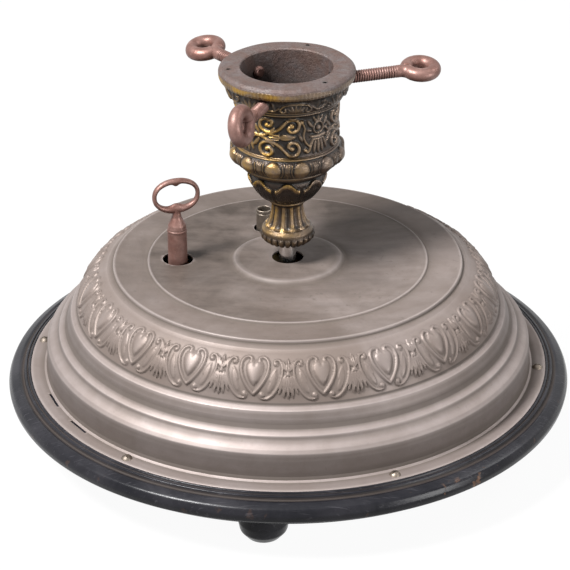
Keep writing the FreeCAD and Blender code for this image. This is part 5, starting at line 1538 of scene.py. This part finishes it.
def make_movement():
    """Finishes for the CAD nodes that show as they are."""
    slots = {part["node"]: part["material_slot"] for part in frame["record"]["subparts"]}
    for node, piece in frame["nodes"].items():
        if piece.hide_render:
            continue
        piece.data.materials.clear()
        piece.data.materials.append(finish("dull_brass" if node == "flange_screws" else slots[node]))
        shade(piece, 30.0)


# Stage


def seen_or_mirrored(wiring):
    """1 for the camera's rays and those that metal or glass sends on, so that all show the same white."""
    rays = wiring.node("ShaderNodeLightPath", {}).outputs
    direct, mirrored_rays, passed_on = (
        Signal(wiring, rays[name]) for name in ("Is Camera Ray", "Is Glossy Ray", "Is Transmission Ray"))
    return wiring.combined("MAXIMUM", direct, wiring.combined("MAXIMUM", mirrored_rays, passed_on))


def make_camera(settings):
    """Camera at the photograph's place."""
    data = bpy.data.cameras.new("camera")
    data.sensor_width = SENSOR_WIDTH
    data.lens = settings.focal_pixels * SENSOR_WIDTH / PICTURE_SIZE
    data.clip_end = 50
    camera = placed("camera", data)
    camera.location = settings.camera_place
    camera.rotation_mode = "QUATERNION"
    camera.rotation_quaternion = (Quaternion((0, 0, 1), settings.yaw)
                                  @ Quaternion((1, 0, 0), math.pi / 2 - settings.pitch)
                                  @ Quaternion((0, 0, 1), settings.roll))
    bpy.context.scene.camera = camera


def make_floor(width):
    """Pale floor that shows white and lights the stand only a little."""
    half = width / 2
    mesh = bpy.data.meshes.new("floor")
    corners = [(-half, -half, 0), (half, -half, 0), (half, half, 0), (-half, half, 0)]
    mesh.from_pydata(corners, [], [(0, 1, 2, 3)])
    floor = placed("floor", mesh)
    floor.location.z = -0.0005
    material = bpy.data.materials.new("pale_floor")
    material.use_nodes = True
    nodes = material.node_tree.nodes
    wiring = Wiring(material.node_tree)
    shader = nodes["Principled BSDF"]
    seen = seen_or_mirrored(wiring)
    wiring.put(shader.inputs["Roughness"], 0.9)
    wiring.put(shader.inputs["Base Color"], wiring.blend(seen, (0.10, 0.10, 0.10), (0.93, 0.93, 0.93)))
    white = wiring.signal("ShaderNodeEmission", {"Color": (1, 1, 1, 1), "Strength": 1.0})
    lit = Signal(wiring, shader.outputs[0])
    mixed = wiring.signal("ShaderNodeMixShader", {0: seen * 0.95, 1: lit, 2: white})
    wiring.put(nodes["Material Output"].inputs[0], mixed)
    mesh.materials.append(material)


def make_world():
    """Surroundings that show white and light the stand faintly."""
    world = bpy.data.worlds.new("studio")
    bpy.context.scene.world = world
    world.use_nodes = True
    nodes = world.node_tree.nodes
    wiring = Wiring(world.node_tree)
    nodes["Background"].inputs[0].default_value = (0.86, 0.88, 0.92, 1)
    nodes["Background"].inputs[1].default_value = 0.035
    lit = Signal(wiring, nodes["Background"].outputs[0])
    white = wiring.signal("ShaderNodeBackground", {0: (1, 1, 1, 1), 1: 1.0})
    mixed = wiring.signal("ShaderNodeMixShader", {0: seen_or_mirrored(wiring), 1: lit, 2: white})
    wiring.put(nodes["World Output"].inputs[0], mixed)


def make_lamps(power):
    """Round soft lamps, by name, place, width in metres and share of the power, aimed above the dome."""
    aim = Vector((0, 0, 0.12))
    for name, place, width, share in (
            ("key", (-1.17, -0.75, 2.07), 0.70, 1.0), ("overhead", (0.1, -0.4, 2.6), 1.5, 0.03),
            ("right", (1.55, 0.45, 1.65), 0.9, 0.08), ("right_front", (1.8, -1.3, 0.50), 0.9, 0.18)):
        light = bpy.data.lights.new(name, "AREA")
        light.shape = "DISK"
        light.size = width
        light.energy = power * share
        lamp = placed(name, light)
        lamp.location = place
        lamp.rotation_mode = "QUATERNION"
        lamp.rotation_quaternion = (aim - Vector(place)).to_track_quat("-Z", "Y")


# Operators


class STAND_OT_stage(bpy.types.Operator):
    """Make the camera, floor, world and lamps"""
    bl_idname = "stand.stage"
    bl_label = "Stage"

    def execute(self, context):
        settings = context.scene.stand_view
        context.scene.view_settings.view_transform = "Standard"
        make_camera(settings)
        make_floor(settings.floor_size)
        make_world()
        make_lamps(settings.lamp_power)
        return {"FINISHED"}


class STAND_OT_base(bpy.types.Operator):
    """Make the turned board and its bun feet"""
    bl_idname = "stand.base"
    bl_label = "Board and feet"

    def execute(self, context):
        settings = in_shape_units(context.scene.stand_base)
        make_board(settings)
        make_feet(settings)
        return {"FINISHED"}


class STAND_OT_dome(bpy.types.Operator):
    """Make the pressed cover with its frieze"""
    bl_idname = "stand.dome"
    bl_label = "Dome cover"

    def execute(self, context):
        make_dome(in_shape_units(context.scene.stand_dome))
        return {"FINISHED"}


class STAND_OT_pedestal(bpy.types.Operator):
    """Make the pedestal under the cup"""
    bl_idname = "stand.pedestal"
    bl_label = "Pedestal"

    def execute(self, context):
        make_pedestal(in_shape_units(context.scene.stand_cup))
        return {"FINISHED"}


class STAND_OT_cup(bpy.types.Operator):
    """Make the trunk cup with its scrolls"""
    bl_idname = "stand.cup"
    bl_label = "Trunk cup"

    def execute(self, context):
        make_cup(in_shape_units(context.scene.stand_cup), in_shape_units(context.scene.stand_screws))
        return {"FINISHED"}


class STAND_OT_screws(bpy.types.Operator):
    """Make the three clamp screws with their eyes"""
    bl_idname = "stand.screws"
    bl_label = "Clamp screws"

    def execute(self, context):
        make_clamp_screws(in_shape_units(context.scene.stand_screws))
        return {"FINISHED"}


class STAND_OT_key(bpy.types.Operator):
    """Make the winding key"""
    bl_idname = "stand.key"
    bl_label = "Winding key"

    def execute(self, context):
        make_key(in_shape_units(context.scene.stand_key))
        return {"FINISHED"}


class STAND_OT_sleeve(bpy.types.Operator):
    """Make the stop sleeve"""
    bl_idname = "stand.sleeve"
    bl_label = "Stop sleeve"

    def execute(self, context):
        make_sleeve(in_shape_units(context.scene.stand_key))
        return {"FINISHED"}


class STAND_OT_movement(bpy.types.Operator):
    """Give the movement, spindle and fastenings their finishes"""
    bl_idname = "stand.movement"
    bl_label = "Movement and fastenings"

    def execute(self, context):
        make_movement()
        return {"FINISHED"}


OPERATORS = (STAND_OT_stage, STAND_OT_base, STAND_OT_dome, STAND_OT_pedestal, STAND_OT_cup, STAND_OT_screws,
             STAND_OT_key, STAND_OT_sleeve, STAND_OT_movement)


class STAND_PT_panel(bpy.types.Panel):
    """Buttons for the stand's pieces"""
    bl_label = "Tree Stand"
    bl_idname = "STAND_PT_panel"
    bl_space_type = "VIEW_3D"
    bl_region_type = "UI"
    bl_category = "Tree Stand"

    def draw(self, context):
        for operator in OPERATORS:
            self.layout.operator(operator.bl_idname)
        for key in SETTINGS:
            box = self.layout.box()
            group = getattr(context.scene, key)
            for name in group.bl_rna.properties.keys():
                if name not in ("rna_type", "name"):
                    box.prop(group, name)


def register():
    """Register the settings, operators and panel."""
    for key, settings in SETTINGS.items():
        bpy.utils.register_class(settings)
        setattr(bpy.types.Scene, key, bpy.props.PointerProperty(type=settings))
    for operator in OPERATORS:
        bpy.utils.register_class(operator)
    bpy.utils.register_class(STAND_PT_panel)


def unregister():
    """Take the settings, operators and panel away."""
    bpy.utils.unregister_class(STAND_PT_panel)
    for operator in reversed(OPERATORS):
        bpy.utils.unregister_class(operator)
    for key, settings in SETTINGS.items():
        delattr(bpy.types.Scene, key)
        bpy.utils.unregister_class(settings)


def main():
    """Build every piece."""
    register()
    for call in (bpy.ops.stand.stage, bpy.ops.stand.base, bpy.ops.stand.dome, bpy.ops.stand.pedestal,
                 bpy.ops.stand.cup, bpy.ops.stand.screws, bpy.ops.stand.key, bpy.ops.stand.sleeve,
                 bpy.ops.stand.movement):
        call()


if __name__ == "__main__":
    main()
